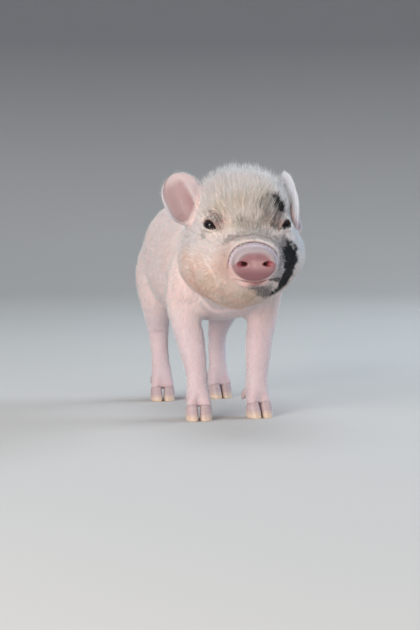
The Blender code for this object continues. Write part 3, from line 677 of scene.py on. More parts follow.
# Lids: round the opening the skin lies on the eyeball, and within it dives under the ball. Folds run over
# the upper lid and under the lower one
for sign in (1, -1):
    along, above, ahead = round_eye(h, sign)
    near = (ahead > 0) & (np.abs(along) < 14) & (np.abs(above) < 12)
    inside = lid_inside(along, above, LID_CORNER[sign])
    ball = np.sqrt(np.maximum((EYE_RADIUS + LID_OVER) ** 2 - along**2 - above**2, 9.0))
    settle = np.where(near, eased((inside + 2.2) / 1.8), 0) * np.clip(ball + 0.2 - ahead, -2.5, 2.5)
    h += settle[:, None] * EYE_AIM * (sign, 1, 1)
    to_corner = eased((11 - np.abs(along)) / 6)
    upper_fold = -0.50 * groove(inside + 2.6, 0.55) + 0.50 * groove(inside + 4.0, 0.9)
    brow_fold = -0.60 * groove(inside + 5.7, 0.7)
    lower_fold = -0.42 * groove(inside + 1.9, 0.5) + 0.25 * groove(inside + 2.9, 0.7)
    lid = 0.30 * groove(inside + 0.6, 0.45)
    for there, bend in ((above > 0, upper_fold), (above > 0, brow_fold), (above < 0, lower_fold)):
        lid += np.where(there, bend, 0) * to_corner
    h += np.where(near, lid, 0)[:, None] * out
    along, above, ahead = round_eye(h, sign)
    opened = eased((lid_inside(along, above, LID_CORNER[sign]) + 0.05) / 0.5)
    ball = np.sqrt(np.maximum((EYE_RADIUS + LID_EDGE_OVER) ** 2 - along**2 - above**2, 0))
    shut = np.where(ball > 0, np.maximum(ahead, ball), ahead)
    target = shut * (1 - opened) + np.minimum(ahead, ball - LID_UNDER) * opened
    h += np.where(near, target - ahead, 0)[:, None] * EYE_AIM * (sign, 1, 1)
points = from_head(h)


# The body's own relief: folds where the neck and the joints bend, faint ribs, the navel and two rows of
# teats under the belly. A piglet's skin is loose, so the folds are soft and wander.

# Folds round the neck (place and depth) and round the legs (height, depth and width). Those of the fore
# legs lie higher by FORE_RISE.
NECK_FOLDS = [(-54, 0.9), (-47, 0.7), (-37, 0.5)]
FORE_FOLDS = [
    (63, 0.5, 1.5), (57, 0.4, 1.2), (44, 0.45, 0.9), (39.5, 0.5, 0.9), (24, 0.4, 0.8), (20, 0.35, 0.7),
]
HIND_FOLDS = [(66, 0.5, 1.6), (56, 0.55, 1.2), (51, 0.5, 1.0), (24, 0.4, 0.8), (20, 0.35, 0.7)]
FORE_RISE = 3.36
NAVEL = (0, 38, 62.5)
TEAT_ACROSS, TEAT_HEIGHT, TEATS_ALONG = 13.5, 65.0, (-6, 8, 22, 36, 50)


def ripple(places, wavelength, seed):
    """Smooth noise from -1 to 1: the mean of eight waves sin(k . p + phase) of about one wavelength."""
    dice = np.random.default_rng(seed)
    heading = unit(dice.normal(size=(8, 3)))
    pace = 2 * math.pi / wavelength * dice.uniform(0.6, 1.5, 8)
    waves = np.sin(places @ (heading * pace[:, None]).T + dice.uniform(0, 6.28, 8))
    return np.clip(waves.mean(1) * 2.2, -1, 1)


body = in_body(points)
across, back, high = body.T
normals = normals_of(points, *faces())
wander = ripple(body, 26, 3)
relief = 0.18 * ripple(body, 9, 4) + 0.30 * ripple(body, 22, 5)
relief *= eased((in_head(points)[:, 1] - 40) / 20)
off_top = eased((np.abs(across) - 6) / 16) + eased((100 - high) / 20)
neck_level = back + 0.28 * (high - 110) + 3.0 * wander
for along_y, deep in NECK_FOLDS:
    relief += -deep * groove(neck_level - along_y, 1.6) * np.clip(off_top, 0, 1) * eased((high - 66) / 14)
leg = eased((70 - high) / 20)
fore, hind = leg * (back < 10), leg * (back > 10)
fore_level = high + 1.5 * wander + 0.12 * back
fore_fade = 0.5 + 0.5 * ripple(body, 30, 6)
for height, deep, wide in FORE_FOLDS:
    relief += -deep * groove(fore_level - height - FORE_RISE, wide) * fore * fore_fade
hind_level = high + 1.5 * wander - 0.15 * (back - 76)
hind_fade = 0.5 + 0.5 * ripple(body, 30, 7)
for height, deep, wide in HIND_FOLDS:
    relief += -deep * groove(hind_level - height, wide) * hind * hind_fade
ribs = np.sin(2 * math.pi * (back + 0.35 * high) / 8.5)
chest = groove(back + 2, 24) * groove(high - 100, 17) * eased((np.abs(across) - 24) / 10)
relief += 0.16 * ribs * chest
relief += 1.6 * spot(body, NAVEL, 2.6)
for along_y in TEATS_ALONG:
    for sign in (1, -1):
        relief += spot(body, (sign * TEAT_ACROSS, along_y, TEAT_HEIGHT), 1.9)
points = points + normals * (relief * MM)[:, None]


# Ears and tail: an ear is a thin leaf of gristle and skin, curled to a funnel where it leaves the skull;
# the tail is a thin round whip with a loose curl. Each is a closed surface of rings, joined to the skin by
# a union and blended in over a few millimetres.

EAR_HALF_WIDTH, EAR_WIDEST = 15.0, 0.4
EAR_RINGS, EAR_SIDES = 64, 88
TAIL_RINGS, TAIL_SIDES = 70, 20
# Round an ear's or the tail's joint the skin is blended over this many points, in as many rounds, and at
# each point further out by this share of it
JOINT_REACH, JOINT_FADE = 5, 0.86
# An ear: its side, middle line, facings at its foot and further up, half angles there, and how far its
# margins fall back
EARS = {
    "left": (
        1, [(29, 60, 8), (31.5, 64, 22), (28, 76, 41)],
        [(0.90, -0.40, -0.10), (0.97, 0.05, 0.03)], (math.radians(90), math.radians(20)), (0, 0),
    ),
    "right": (
        -1, [(28, 56, 13), (33.2, 58, 24), (44.6, 71, 40.3)],
        [(0.45, -0.85, -0.10), (0.31, -0.83, 0.47)], (math.radians(95), math.radians(26)), (13, 12),
    ),
}
# The tail: places along it with its radius at each
TAIL = [
    (0, 91, 125, 5.2), (0, 98, 124, 4.5), (0.3, 104, 120.5, 3.6), (1.2, 109, 114.5, 2.9),
    (3.2, 111.5, 106, 2.6), (6.4, 111, 97.5, 2.3), (10.0, 108.5, 91.5, 2.05), (13.5, 107.5, 88.5, 1.8),
    (17.0, 109.5, 89.0, 1.6), (18.5, 112.5, 92.5, 1.25), (17.8, 114.0, 96.0, 0.8),
]
# The skin's parts as they are joined to its ground, which is 0
EAR_PARTS, TAIL_PART = (1, 2), 3


def ear_frame(line, facings, u):
    """Along an ear's bent middle line (a quadratic Bezier curve): place, heading, facing and sideways."""
    root, bend, tip = (np.array(place, float) for place in line)
    u = u[:, None]
    place = root * (1 - u) ** 2 + bend * (2 * u * (1 - u)) + tip * u**2
    ahead = unit((bend - root) * (1 - u) + (tip - bend) * u)
    turn = np.clip(1.3 * u, 0, 1)
    facing = np.array(facings[0]) * (1 - turn) + np.array(facings[1]) * turn
    facing = unit(facing - ahead * np.sum(facing * ahead, axis=1, keepdims=True))
    return place, ahead, facing, np.cross(facing, ahead)


def ear_rings(side, line, facings, curls, sink):
    """Rings round the leaf, in the head's frame.

    Across the leaf the sheet follows an arc of half angle `curl` and arc length twice `half`. Its front
    margin, and low down its back margin too, fall back by `sink` into the side of the skull. A ring goes
    out along the sheet's hollow side and back along its other side, and its thickness dies at the rim.
    """
    u = 1.018 * np.sin(np.linspace(0, math.pi / 2, EAR_RINGS)) ** 0.9
    place, ahead, facing, sideways = ear_frame(line, facings, u)
    grow = 0.80 + 0.20 * np.sin(np.minimum(u / EAR_WIDEST, 1) * math.pi / 2)
    fall = np.maximum(1 - (np.clip(u - EAR_WIDEST, 0, 1) / (1.02 - EAR_WIDEST)) ** 2.7, 0.0006) ** 0.5
    half = EAR_HALF_WIDTH * grow * fall * (1 + 0.02 * np.sin(u * 17))
    curl = curls[0] + (curls[1] - curls[0]) * np.clip(1.3 * u, 0, 1)
    phi = np.linspace(0, 2 * math.pi, EAR_SIDES, endpoint=False)
    v = np.sign(np.cos(phi)) * np.abs(np.cos(phi)) ** 0.85
    skin_side = np.sign(np.sin(phi)) * np.abs(np.sin(phi)) ** 0.75
    thick = (2.9 - 1.9 * np.clip(u, 0, 1))[:, None] * (0.5 + 0.5 * fall[:, None])
    middle = np.sin(math.pi * np.clip(u * 1.1, 0, 1))[:, None]
    ridges = 0.30 * np.cos(v * 9.5) * (1 - v**2) * middle + 1.5 * groove(v - 0.45, 0.2) * middle
    ridges += 0.7 * groove(np.abs(v) - 0.93, 0.10)
    depth = skin_side * thick / 2 + ridges * eased(skin_side * 3)
    angle = curl[:, None] * v
    radius = (half / curl)[:, None]
    inwards = facing[:, None] * np.cos(angle)[..., None] - sideways[:, None] * np.sin(angle)[..., None]
    rings = place[:, None] + sideways[:, None] * (radius * np.sin(angle))[..., None]
    fall_back = sink[0] * np.clip((v - 0.30) / 0.70, 0, 1) ** 2 * eased((0.95 - u) / 0.6)[:, None]
    fall_back += sink[1] * np.clip((-v - 0.15) / 0.85, 0, 1) ** 1.5 * eased((0.42 - u) / 0.36)[:, None]
    rings = rings + facing[:, None] * (radius * (1 - np.cos(angle)) - fall_back)[..., None]
    rings = rings + inwards * depth[..., None]
    even = np.zeros_like(depth)
    marks = {"ear_along": u[:, None] + even, "ear_across": v + even, "ear_face": skin_side + even}
    return rings * (side, 1, 1), marks


def carried(rows, count):
    """Rows of numbers carried to `count` rows, by a cubic through them that is even in space."""
    rows = np.array(rows, float)
    at = np.concatenate([[0.0], np.cumsum(np.linalg.norm(np.diff(rows[:, :3], axis=0), axis=1))])
    slope = np.gradient(rows, at, axis=0)
    where = np.linspace(0.0, at[-1], count)
    low = np.clip(np.searchsorted(at, where, side="right") - 1, 0, len(at) - 2)
    span = (at[low + 1] - at[low])[:, None]
    t = (where - at[low])[:, None] / span
    ends = rows[low] * (2 * t**3 - 3 * t**2 + 1) + rows[low + 1] * (3 * t**2 - 2 * t**3)
    return ends + slope[low] * span * (t**3 - 2 * t**2 + t) + slope[low + 1] * span * (t**3 - t**2)


def tube_rings(rows, count, sides):
    """Circles square to a path of (x, y, z, radius)."""
    rows = carried(rows, count)
    ahead = unit(np.gradient(rows[:, :3], axis=0))
    across = unit(np.cross(ahead, (0.2, 0.9, 0.35)))
    over = np.cross(ahead, across)
    phi = np.linspace(0, 2 * math.pi, sides, endpoint=False)
    ring = across[:, None] * np.cos(phi)[:, None] + over[:, None] * np.sin(phi)[:, None]
    return rows[:, None, :3] + ring * rows[:, None, 3:4]


def keep_marks(thing, marks):
    """Keeps numbers for each point of a mesh, by their names."""
    for name, values in marks.items():
        layer = thing.data.attributes.new(name, "FLOAT", "POINT")
        layer.data.foreach_set("value", np.asarray(values, np.float32))


parts = {}
for word, ear in EARS.items():
    rings, grids = ear_rings(*ear)
    parts[f"ear_{word}"] = mesh_of(f"leaf_{word}", *closed_rings(from_head(rings)))
    ends = {name: [grid[0].mean(), grid[-1].mean()] for name, grid in grids.items()}
    keep_marks(parts[f"ear_{word}"], {name: np.append(grids[name].ravel(), ends[name]) for name in grids})
tail_rings = from_body(tube_rings(TAIL, TAIL_RINGS, TAIL_SIDES))
parts["tail"] = mesh_of("whip", *closed_rings(tail_rings))
skin = mesh_of("skin", points, *faces())
keep_marks(skin, {"crease": crease_shade, "mouth": mouth})
skin.data.materials.append(bpy.data.materials.new("ground"))
for word, part in parts.items():
    tag = bpy.data.materials.new(word)
    part.data.materials.append(tag)
    skin.data.materials.append(tag)
    union = skin.modifiers.new(word, "BOOLEAN")
    union.operation, union.object, union.solver = "UNION", part, "MANIFOLD"
whole = settled(skin)
for part in parts.values():
    bpy.data.objects.remove(part)
bpy.data.objects.remove(skin)
points = numbers(whole.vertices, "co", 3).astype(float)
corners = numbers(whole.loops, "vertex_index", kind=np.int32).astype(np.int64)
starts = numbers(whole.polygons, "loop_start", kind=np.int32)
sizes = np.diff(np.append(starts, len(corners)))
face_part = numbers(whole.polygons, "material_index", kind=np.int32)
ear_along, ear_across, ear_face, crease_shade, mouth = (
    numbers(whole.attributes[name].data, "value")
    for name in ("ear_along", "ear_across", "ear_face", "crease", "mouth")
)
bpy.data.meshes.remove(whole)
corner_part = np.repeat(face_part, sizes)
part_high = np.zeros(len(points), int)
np.maximum.at(part_high, corners, corner_part)
part_low = np.full(len(points), 9)
np.minimum.at(part_low, corners, corner_part)
edges = edges_of(corners, sizes, len(points))
junction = (part_high != part_low).astype(float)
for _ in range(JOINT_REACH):
    spread = np.maximum(junction[edges[:, 0]], junction[edges[:, 1]]) * JOINT_FADE
    np.maximum.at(junction, edges[:, 0], spread)
    np.maximum.at(junction, edges[:, 1], spread)
points = relaxed(points, edges, junction, JOINT_REACH, pushes=(0.5,))
skin = mesh_of("skin", points, corners, sizes)
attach(skin, "root")
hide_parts(*FLESH, "ear_left", "ear_right", "tail")


# The skin's colours: thin pale skin that blood shows through, pinker where hair is sparse (ears, feet,
# belly, lids and the sides of the snout), a bare mauve-pink nose disc, and black and grey patches on the
# left of the face. Some of them are painted light: painted shade in the nostrils, the mouth's slit, the
# folds behind the disc and the lids' folds, over the lower disc and beside the snout on the right, a
# painted highlight under each nostril, and painted cool light on the far ear. What the coat shares with
# it is worked out by the same functions.

# The black patches' strokes on the brow and the cheek
BROW_PATCH = [(18.6, 46.4, 32.0), (19.6, 44.2, 30.0), (21.2, 44.4, 28.9), (22.4, 43.6, 27.2)]
CHEEK_PATCH = [
    (24.6, 26.0, 1.4), (25.6, 27.0, -0.4), (26.0, 27.0, -2.6), (25.4, 26.2, -6.3), (24.6, 26.2, -10.7),
    (23.0, 26.1, -15.1), (20.1, 25.8, -19.4), (16.2, 26.0, -23.5),
]
CHEEK_BRANCH = [(20.6, 23.1, -14.8), (15.6, 16.0, -12.5), (10.8, 7.8, -10.8)]
# Spots on the left flank, the rump and the left thigh: a line and its sizes
BODY_SPOTS = [
    ([(36, -8, 128), (40, 6, 116), (40, 20, 112)], [11, 15, 9]),
    ([(6, 78, 148), (16, 92, 140), (22, 101, 126)], [10, 14, 8]),
    ([(38, 62, 92), (36, 68, 82)], [8, 5]),
]
# The stroke of yellowish hair under the chin
CHIN = [(-0.9, 16, -21.8), (0.5, 23, -26.5)]


def stroke(places, line, sizes):
    """1 on a bent line and 0 at its edge: 1 - distance / size, where the size changes along the line."""
    gap, share = along_line(places, line)
    return 1 - gap / np.interp(share, np.linspace(0, 1, len(sizes)), sizes)


def black(h, body):
    """Share of black hair, from 0 to 1: strokes on brow, cheek, flank, rump and thigh with ragged edges."""
    ragged = 0.30 * ripple(h, 6, 11) + 0.22 * ripple(h, 2.6, 12)
    found = eased(0.5 + 1.8 * (stroke(h, BROW_PATCH, [3.0, 3.9, 4.1, 3.3]) + ragged))
    cheek = stroke(h, CHEEK_PATCH, [7.6, 8.6, 8.8, 8.0, 7.0, 5.8, 4.4, 2.8]) + 0.7 * ragged
    found = np.maximum(found, eased(0.46 + 1.9 * cheek))
    branch = stroke(h, CHEEK_BRANCH, [2.6, 1.7, 1.1]) + 0.6 * ragged
    found = np.maximum(found, 0.8 * eased(0.35 + 1.6 * branch))
    rough = 0.35 * ripple(body, 16, 13) + 0.14 * ripple(body, 5, 14)
    for line, sizes in BODY_SPOTS:
        found = np.maximum(found, eased(0.45 + 2.4 * (stroke(body, line, sizes) + rough)))
    return found


# Greys: a line, its sizes, the share of dark hairs and how dark they are
GREYS = [
    ([(20.0, 42.5, 28.2), (20.6, 39.3, 24.9), (19.8, 36.2, 22.8), (17.6, 33.0, 20.2), (15.8, 30.6, 18.2)],
     [5.0, 5.4, 5.0, 4.4, 3.6], 0.90, 0.85),
    ([(22.6, 41.5, 25.5), (22.4, 38.2, 21.5), (20.6, 35.0, 18.4)], [4.4, 4.8, 3.6], 1.00, 0.86),
    ([(15.0, 45.0, 33.5), (14.5, 42.7, 31.6), (11.4, 38.4, 28.0), (11.6, 34.2, 23.6), (8.0, 30.3, 20.3)],
     [4.0, 6.0, 6.5, 5.5, 4.0], 0.80, 0.60),
    ([(-13.5, 19.9, 11.0), (-4.2, 18.8, 14.6), (3.6, 18.0, 14.8), (11.2, 18.0, 12.8), (18.2, 21.7, 9.0)],
     [4.0, 5.5, 6.5, 7.0, 7.0], 0.95, 0.55),
    ([(-5.8, 30.0, 20.4), (-1.1, 27.8, 19.0), (3.8, 27.2, 18.5), (6.5, 25.0, 17.0)],
     [5.0, 7.5, 8.0, 7.0], 0.75, 0.52),
    ([(16.2, 11.1, -0.4), (16.0, 10.4, -3.9), (15.7, 13.2, -8.4), (18.0, 19.0, -9.0)],
     [4.4, 5.2, 5.6, 5.0], 0.90, 0.58),
    ([(0.6, 6.6, -13.6), (4.5, 11.5, -17.0), (8.7, 16.5, -19.6), (12.2, 23.3, -23.8)],
     [4.0, 5.6, 6.2, 4.8], 1.00, 0.84),
    ([(14.2, 9.2, 7.0), (15.2, 8.4, 2.0), (15.2, 8.2, -3.0), (13.6, 9.0, -8.0)],
     [3.0, 3.4, 3.6, 3.2], 0.85, 0.50),
    ([(22.0, 24.5, 9.5), (20.0, 20.5, 7.0), (18.6, 16.5, 1.0), (17.6, 14.6, -5.0)],
     [5.0, 5.8, 5.8, 4.8], 1.00, 0.72),
    ([(-27.9, 36.5, 13.2), (-28.2, 34.0, 9.8)], [2.4, 2.0], 0.65, 0.50),
    ([(-27.5, 43.0, 22.6), (-24.8, 40.4, 23.6), (-21.4, 38.4, 23.2), (-18.6, 35.4, 20.6)],
     [3.8, 4.6, 4.6, 3.8], 0.90, 0.60),
]


def grey(h):
    """Where dark hair is in among the pale: the share of the hairs there, and how dark they are."""
    ragged = 0.30 * ripple(h, 9, 15) + 0.20 * ripple(h, 3, 16)
    share, depth = np.zeros(len(h)), np.zeros(len(h))
    for line, sizes, most, dark in GREYS:
        here = most * eased(0.36 + 0.8 * (stroke(h, line, sizes) + 0.7 * ragged))
        depth = np.where(here > share, dark, depth)
        share = np.maximum(share, here)
    return share, depth


def straw(h):
    """Share of yellowish hair under the chin."""
    return 0.7 * eased(0.4 + stroke(h, CHIN, [4.0, 4.5]) + 0.2 * ripple(h, 4, 17))


def cream(h):
    """Share of cream in the hair: most on the forehead, little on the cheeks and none on the legs."""
    x, y, z = h.T
    share = eased((z - 2) / 18) * eased((68 - y) / 32) * eased((36 - np.abs(x)) / 18)
    jowl = 0.75 * eased((-z - 8) / 10) * eased((44 - y) / 14) * eased((18 - x) / 10)
    share = np.maximum(share, jowl)
    return np.clip(share * (0.75 + 0.25 * ripple(h, 14, 18)), 0, 1)


h, body = in_head(points), in_body(points)
x, y, z = h.T
high = body[:, 2]
skin_normals = normals_of(points, corners, sizes)
on_ear = np.isin(part_high, EAR_PARTS) * (1 - eased(junction * 1.2))
ear_inner = eased(ear_face * 4) * on_ear
front_margin = 0.44 + 0.10 * eased((ear_along - 0.55) / 0.4)
ear_pink = eased((front_margin + 0.06 - ear_across) / 0.36) * eased((ear_across + 1.0) / 0.32)
ear_pink *= eased((0.99 - ear_along) / 0.16) * eased((ear_along - 0.02) / 0.10) * ear_inner
ear_deep = groove(ear_across - front_margin + 0.22, 0.26) * eased((0.8 - ear_along) / 0.3) * ear_pink
ear_edge = on_ear * eased((np.abs(ear_across) - 0.80) / 0.14)
share, from_nostril = disc_share(h), nostril_share(h)
upper = eased((z + 1) / 5)
disc_edge = DISC_EDGE - 0.19 * upper
disc = eased((5.2 - y) / 1.6) * eased((disc_edge + 0.04 - share) / (0.12 + 0.16 * upper))
plate = eased((6.2 - y) / 1.6) * eased((1.12 - share) / 0.08)
band = eased((9.6 - y) / 2.0) * eased((z + 4) / 5) * (1 - disc)
in_nostril = eased((1.12 - from_nostril) / 0.4) * disc
# Painted shade deep in each nostril, on its inner half
pit = in_nostril * eased((7.9 - np.abs(x)) / 1.3)
nostril_rim = 0.8 * groove(from_nostril - 1.0, 0.4) * disc * (np.abs(x) > 7)
# A painted highlight under each nostril, pale on the disc
painted_highlight_under_nostril = groove(from_nostril - 1.5, 0.28) * eased((2.0 - z) / 2)
painted_highlight_under_nostril *= eased((10 - np.abs(x)) / 3)
ridge = groove(x, 4.2) * eased((z + 3.5) / 4) * eased((5 - z) / 3)
mouth = mouth * (1 - disc)
crease_shade = crease_shade * (1 - disc)
lip_red = groove(np.linalg.norm((h - (1.2, 5.0, -11.3)) / (4.0, 3.0, 1.7), axis=1), 1.0) * (1 - disc)
flush = 0.13 + 0.10 * ripple(body, 30, 21)
flush += 0.42 * eased((-z - 10) / 22) * eased((60 - y) / 10)
flush += 0.08 * eased((78 - high) / 30) + 0.34 * eased((22 - high) / 12)
flush += 0.16 * eased((y - 60) / 20)
flush += 0.45 * eased((13 - y) / 5) * eased((4 - z) / 8)
# Painted warm shade on the right side of the snout, which lies low under light from above
tan = groove(np.linalg.norm((np.abs(h) - (18, 14, 4)) / (8, 9, 10), axis=1), 1.0) * (x < 0)
flush += 0.30 * junction + 0.25 * ear_inner
for sign in (1, -1):
    q = h * (sign, 1, 1)
    flush += 0.75 * spot(q, (15.8, 32.8, 20.2), 4.6)
    flush += 0.30 * spot(q, (21.1, 38.0, 23.6), 5.0)
lid_rim_and_fold_shade, lid_shade = np.zeros(len(points)), np.zeros(len(points))
for sign in (1, -1):
    along, above, ahead = round_eye(h, sign)
    inside = lid_inside(along, above, LID_CORNER[sign])
    near = (ahead > 0) & (np.abs(along) < 10) & (np.abs(above) < 12)
    lid_rim_and_fold_shade = np.maximum(lid_rim_and_fold_shade, eased((inside + 0.55) / 0.4) * near)
    # Painted shade in the folds above and below each lid, added to the lids' dark rims
    folds = groove(inside + 2.6, 0.6) * (above > 0) + 0.8 * groove(inside + 1.9, 0.5) * (above < 0)
    folds += 0.6 * groove(inside + 5.7, 0.8) * (above > 0) * eased((7.5 - np.abs(along)) / 3)
    lid_rim_and_fold_shade = np.maximum(lid_rim_and_fold_shade, 0.40 * folds * near)
    lid_shade = np.maximum(lid_shade, eased((inside + 7.2) / 3.4) * eased((above + 2.5) / 2.5) * near)

grey_share, grey_depth = grey(h)
keep_marks(skin, {
    "black": black(h, body) * (1 - plate),
    "grey": grey_share * grey_depth * (1 - plate),
    "cream": cream(h),
    "flush": np.clip(flush, 0, 1),
    "disc": disc,
    "plate": plate,
    "band": band,
    "tan": tan,
    "leg": eased((86 - high) / 34) * eased((y - 50) / 20),
    "rim_low": eased((2.0 - z) / 4),
    # Painted shade: the lower part of the disc darkened
    "disc_low": eased((-z - 1.0) / 5) * disc,
    # The paler ridge between the nostrils, and a painted highlight under each nostril
    "disc_ridge": np.maximum(ridge, 0.9 * painted_highlight_under_nostril) * disc,
    "nostril_flesh": np.maximum(in_nostril, nostril_rim),
    "pit": pit,
    "mouth": mouth,
    "lip_red": lip_red,
    "crease": crease_shade,
    "lid": lid_rim_and_fold_shade,
    "lid_shade": lid_shade,
    "ear_pink": ear_pink,
    "ear_deep": ear_deep,
    "ear_edge": ear_edge,
    "ear": on_ear,
    # Painted cool light on the far ear's pale back
    "far_ear": on_ear * (1 - 0.8 * ear_inner) * (x > 0),
})

hide = Finish(
    "piglet_skin", Roughness=0.52, IOR=1.42, Subsurface_Weight=0.30, Subsurface_Scale=0.003,
    Subsurface_Radius=(1.0, 0.42, 0.30), Coat_Roughness=0.22,
)
hide.shader.subsurface_method = "RANDOM_WALK"
mottle = hide.noise(90.0, 3.0)
fine = hide.noise(900.0)
lilac = hide.mixed(mottle, (0.49, 0.41, 0.475), (0.57, 0.50, 0.58))
rim = hide.mixed(hide.mark("rim_low"), (0.38, 0.325, 0.345), (0.42, 0.235, 0.205))
disc_face = hide.layered(hide.mixed(mottle, (0.27, 0.13, 0.147), (0.35, 0.20, 0.223)), [
    # The paler ridge between the nostrils, with a painted highlight under each nostril
    (hide.mark("disc_ridge") * 0.75, (0.48, 0.32, 0.325)),
    # Painted shade over the disc's lower part
    (hide.mark("disc_low") * 0.75, (0.185, 0.078, 0.092)),
])
tone = hide.layered((0.74, 0.66, 0.65), [
    (hide.mark("cream") * 0.8, (0.66, 0.58, 0.50)),
    (hide.mark("flush") + (mottle - 0.5) * 0.35, (0.72, 0.43, 0.42)),
    (hide.mark("leg") * 0.6, (0.56, 0.49, 0.57)),
    # Painted warm shade beside the snout on the right
    (hide.mark("tan") * 0.8, (0.36, 0.22, 0.175)),
    (hide.mark("ear") * 0.8, (0.47, 0.425, 0.45)),
    (hide.mark("ear_edge") * 0.85, (0.45, 0.44, 0.485)),
    (hide.mark("ear_pink") * (0.6 + 0.4 * mottle), (0.35, 0.235, 0.245)),
    (hide.mark("ear_deep") * 0.7, (0.29, 0.16, 0.17)),
    # Painted cool light on the far ear
    (hide.mark("far_ear") * 0.8, (0.60, 0.665, 0.77)),
    (hide.mark("lid_shade") * 0.85, (0.27, 0.20, 0.18)),
    (hide.mark("grey") * 0.9, (0.18, 0.165, 0.165)),
    (hide.mark("black"), (0.012, 0.012, 0.014)),
    # Dark rims of the lids, with painted shade in their folds
    (hide.mark("lid") * 0.9, (0.075, 0.04, 0.035)),
    (hide.mark("band") * 0.85, lilac),
    (hide.mark("plate") * 0.9, rim),
    (hide.mark("disc"), disc_face),
    (hide.mark("nostril_flesh") * 0.9, (0.26, 0.062, 0.082)),
    # Painted shade deep in the nostrils
    (hide.mark("pit") * 1.15, (0.05, 0.008, 0.008)),
    # Painted shade in the folds behind the disc
    (hide.mark("crease") * 1.1, (0.060, 0.040, 0.075)),
    # Painted shade in the slit of the closed mouth, dark red
    (hide.mark("mouth") * 1.1, (0.08, 0.018, 0.02)),
    (hide.mark("lip_red") * 0.9, (0.22, 0.025, 0.035)),
])
hide.feed("Base Color", tone)
hide.feed("Roughness", 0.55 - 0.17 * hide.mark("disc") + 0.06 * (fine - 0.5))
hide.feed("Coat Weight", 0.35 * hide.mark("disc") + 0.3 * hide.mark("pit"))
grain = hide.noise(2600.0) * 0.4 + hide.noise(700.0, 3.0) * 0.5
back_lie = hide.noise(1500.0, stretch=(1.0, 0.16, 0.55))
down_lie = hide.noise(1500.0, stretch=(1.0, 1.0, 0.16))
lying = back_lie + hide.mark("leg") * (down_lie - back_lie)
hide.feed("Normal", hide.bump(grain + lying * (0.9 - 0.9 * hide.mark("plate")), 0.00025, 0.7))
hide.on(skin)
for material in [material for material in bpy.data.materials if material.users == 0]:
    bpy.data.materials.remove(material)


# Eyes: dark wet balls, almost black, with a brown ring that shows only close to. Each ball has the clear
# bulge of the cornea at its front, and sits in the lids of the skin.

EYE_RINGS, EYE_SIDES = 48, 64
# The cornea's rise over the ball in mm, and its width as an angle
CORNEA, CORNEA_WIDTH = 0.42, 0.55
# The eye's colours from the pupil's middle to the back of the ball
IRIS = [
    (0.0, (0.003, 0.002, 0.002)), (0.115, (0.003, 0.002, 0.002)), (0.14, (0.012, 0.005, 0.004)),
    (0.22, (0.008, 0.004, 0.003)), (0.28, (0.003, 0.002, 0.002)), (0.45, (0.006, 0.004, 0.004)),
]
polar = np.linspace(0.0, math.pi, EYE_RINGS + 2)[1:-1]
phi = np.linspace(0, 2 * math.pi, EYE_SIDES, endpoint=False)
ball_rings = np.stack([
    np.sin(polar)[:, None] * np.cos(phi), np.sin(polar)[:, None] * np.sin(phi),
    np.broadcast_to(np.cos(polar)[:, None], (EYE_RINGS, EYE_SIDES)),
], -1) * (EYE_RADIUS + CORNEA * groove(polar, CORNEA_WIDTH))[:, None, None]
from_pupil = np.concatenate([np.repeat(polar, EYE_SIDES), [0.0, math.pi]]) / math.pi
for side, word in ((1, "left"), (-1, "right")):
    rings = from_head((ball_rings @ np.stack([slit, lid_up, EYE_AIM]) + EYE) * (side, 1, 1))
    eye = mesh_of(f"eyeball_{word}", *closed_rings(rings))
    keep_marks(eye, {"from_pupil": from_pupil})
    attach(eye, "root")
    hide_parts(f"eye_{word}")
    ball = Finish(f"wet_eye_{word}", Roughness=0.10, IOR=1.36, Coat_Weight=0.35, Coat_Roughness=0.04)
    where = ball.mark("from_pupil") + (ball.noise(1500.0, 3.0) - 0.5) * 0.02
    ball.feed("Base Color", ball.node("ShaderNodeValToRGB", {"stops": IRIS}, {"Fac": where}))
    ball.on(eye)


# Claws: two blunt toes of pale, slightly see-through horn on each foot, flat underneath, with fine growth
# rings round them, and two small dewclaws behind. Each grows out of a soft band of skin, so its upper end
# goes on inside the flesh.

TOE_SPREAD, CLAW_POWER = 4.75, 2.3
CLAW_RINGS, CLAW_SIDES = 24, 56
DEWCLAW_RINGS, DEWCLAW_SIDES = 20, 28
# A claw by height: how far it is set back, its reach to the heel and to the toe, and its half width
CLAW_LEVELS = [
    (0.0, 0.0, 6.3, 7.6, 4.05), (4.0, 0.9, 6.2, 6.8, 4.15),
    (8.0, 2.1, 5.6, 5.9, 3.95), (13.0, 3.6, 4.6, 4.8, 3.3),
]
# The coronet's height at the heel and at the toe
CORONET = (6.0, 10.5)
# A dewclaw: where it grows, and its distances along its axis with the radius at each
DEWCLAW_PLACE, DEWCLAW_AXIS = (5.3, 9.2, 15.6), (0.26, 0.46, -0.85)
DEWCLAW_STEPS = np.array([
    (-2.2, 2.1), (0.3, 2.3), (1.6, 2.15), (3.0, 1.85), (4.3, 1.4), (5.1, 0.95), (5.45, 0.45),
])
# Feet by their claws: side, place and turn in degrees
FEET = {
    "fore_claw_left": (1, (21, -35.375), 6), "fore_claw_right": (-1, (21, -39.03), 8),
    "hind_claw_left": (1, (22, 72.94), 7), "hind_claw_right": (-1, (22, 68.47), 6),
}


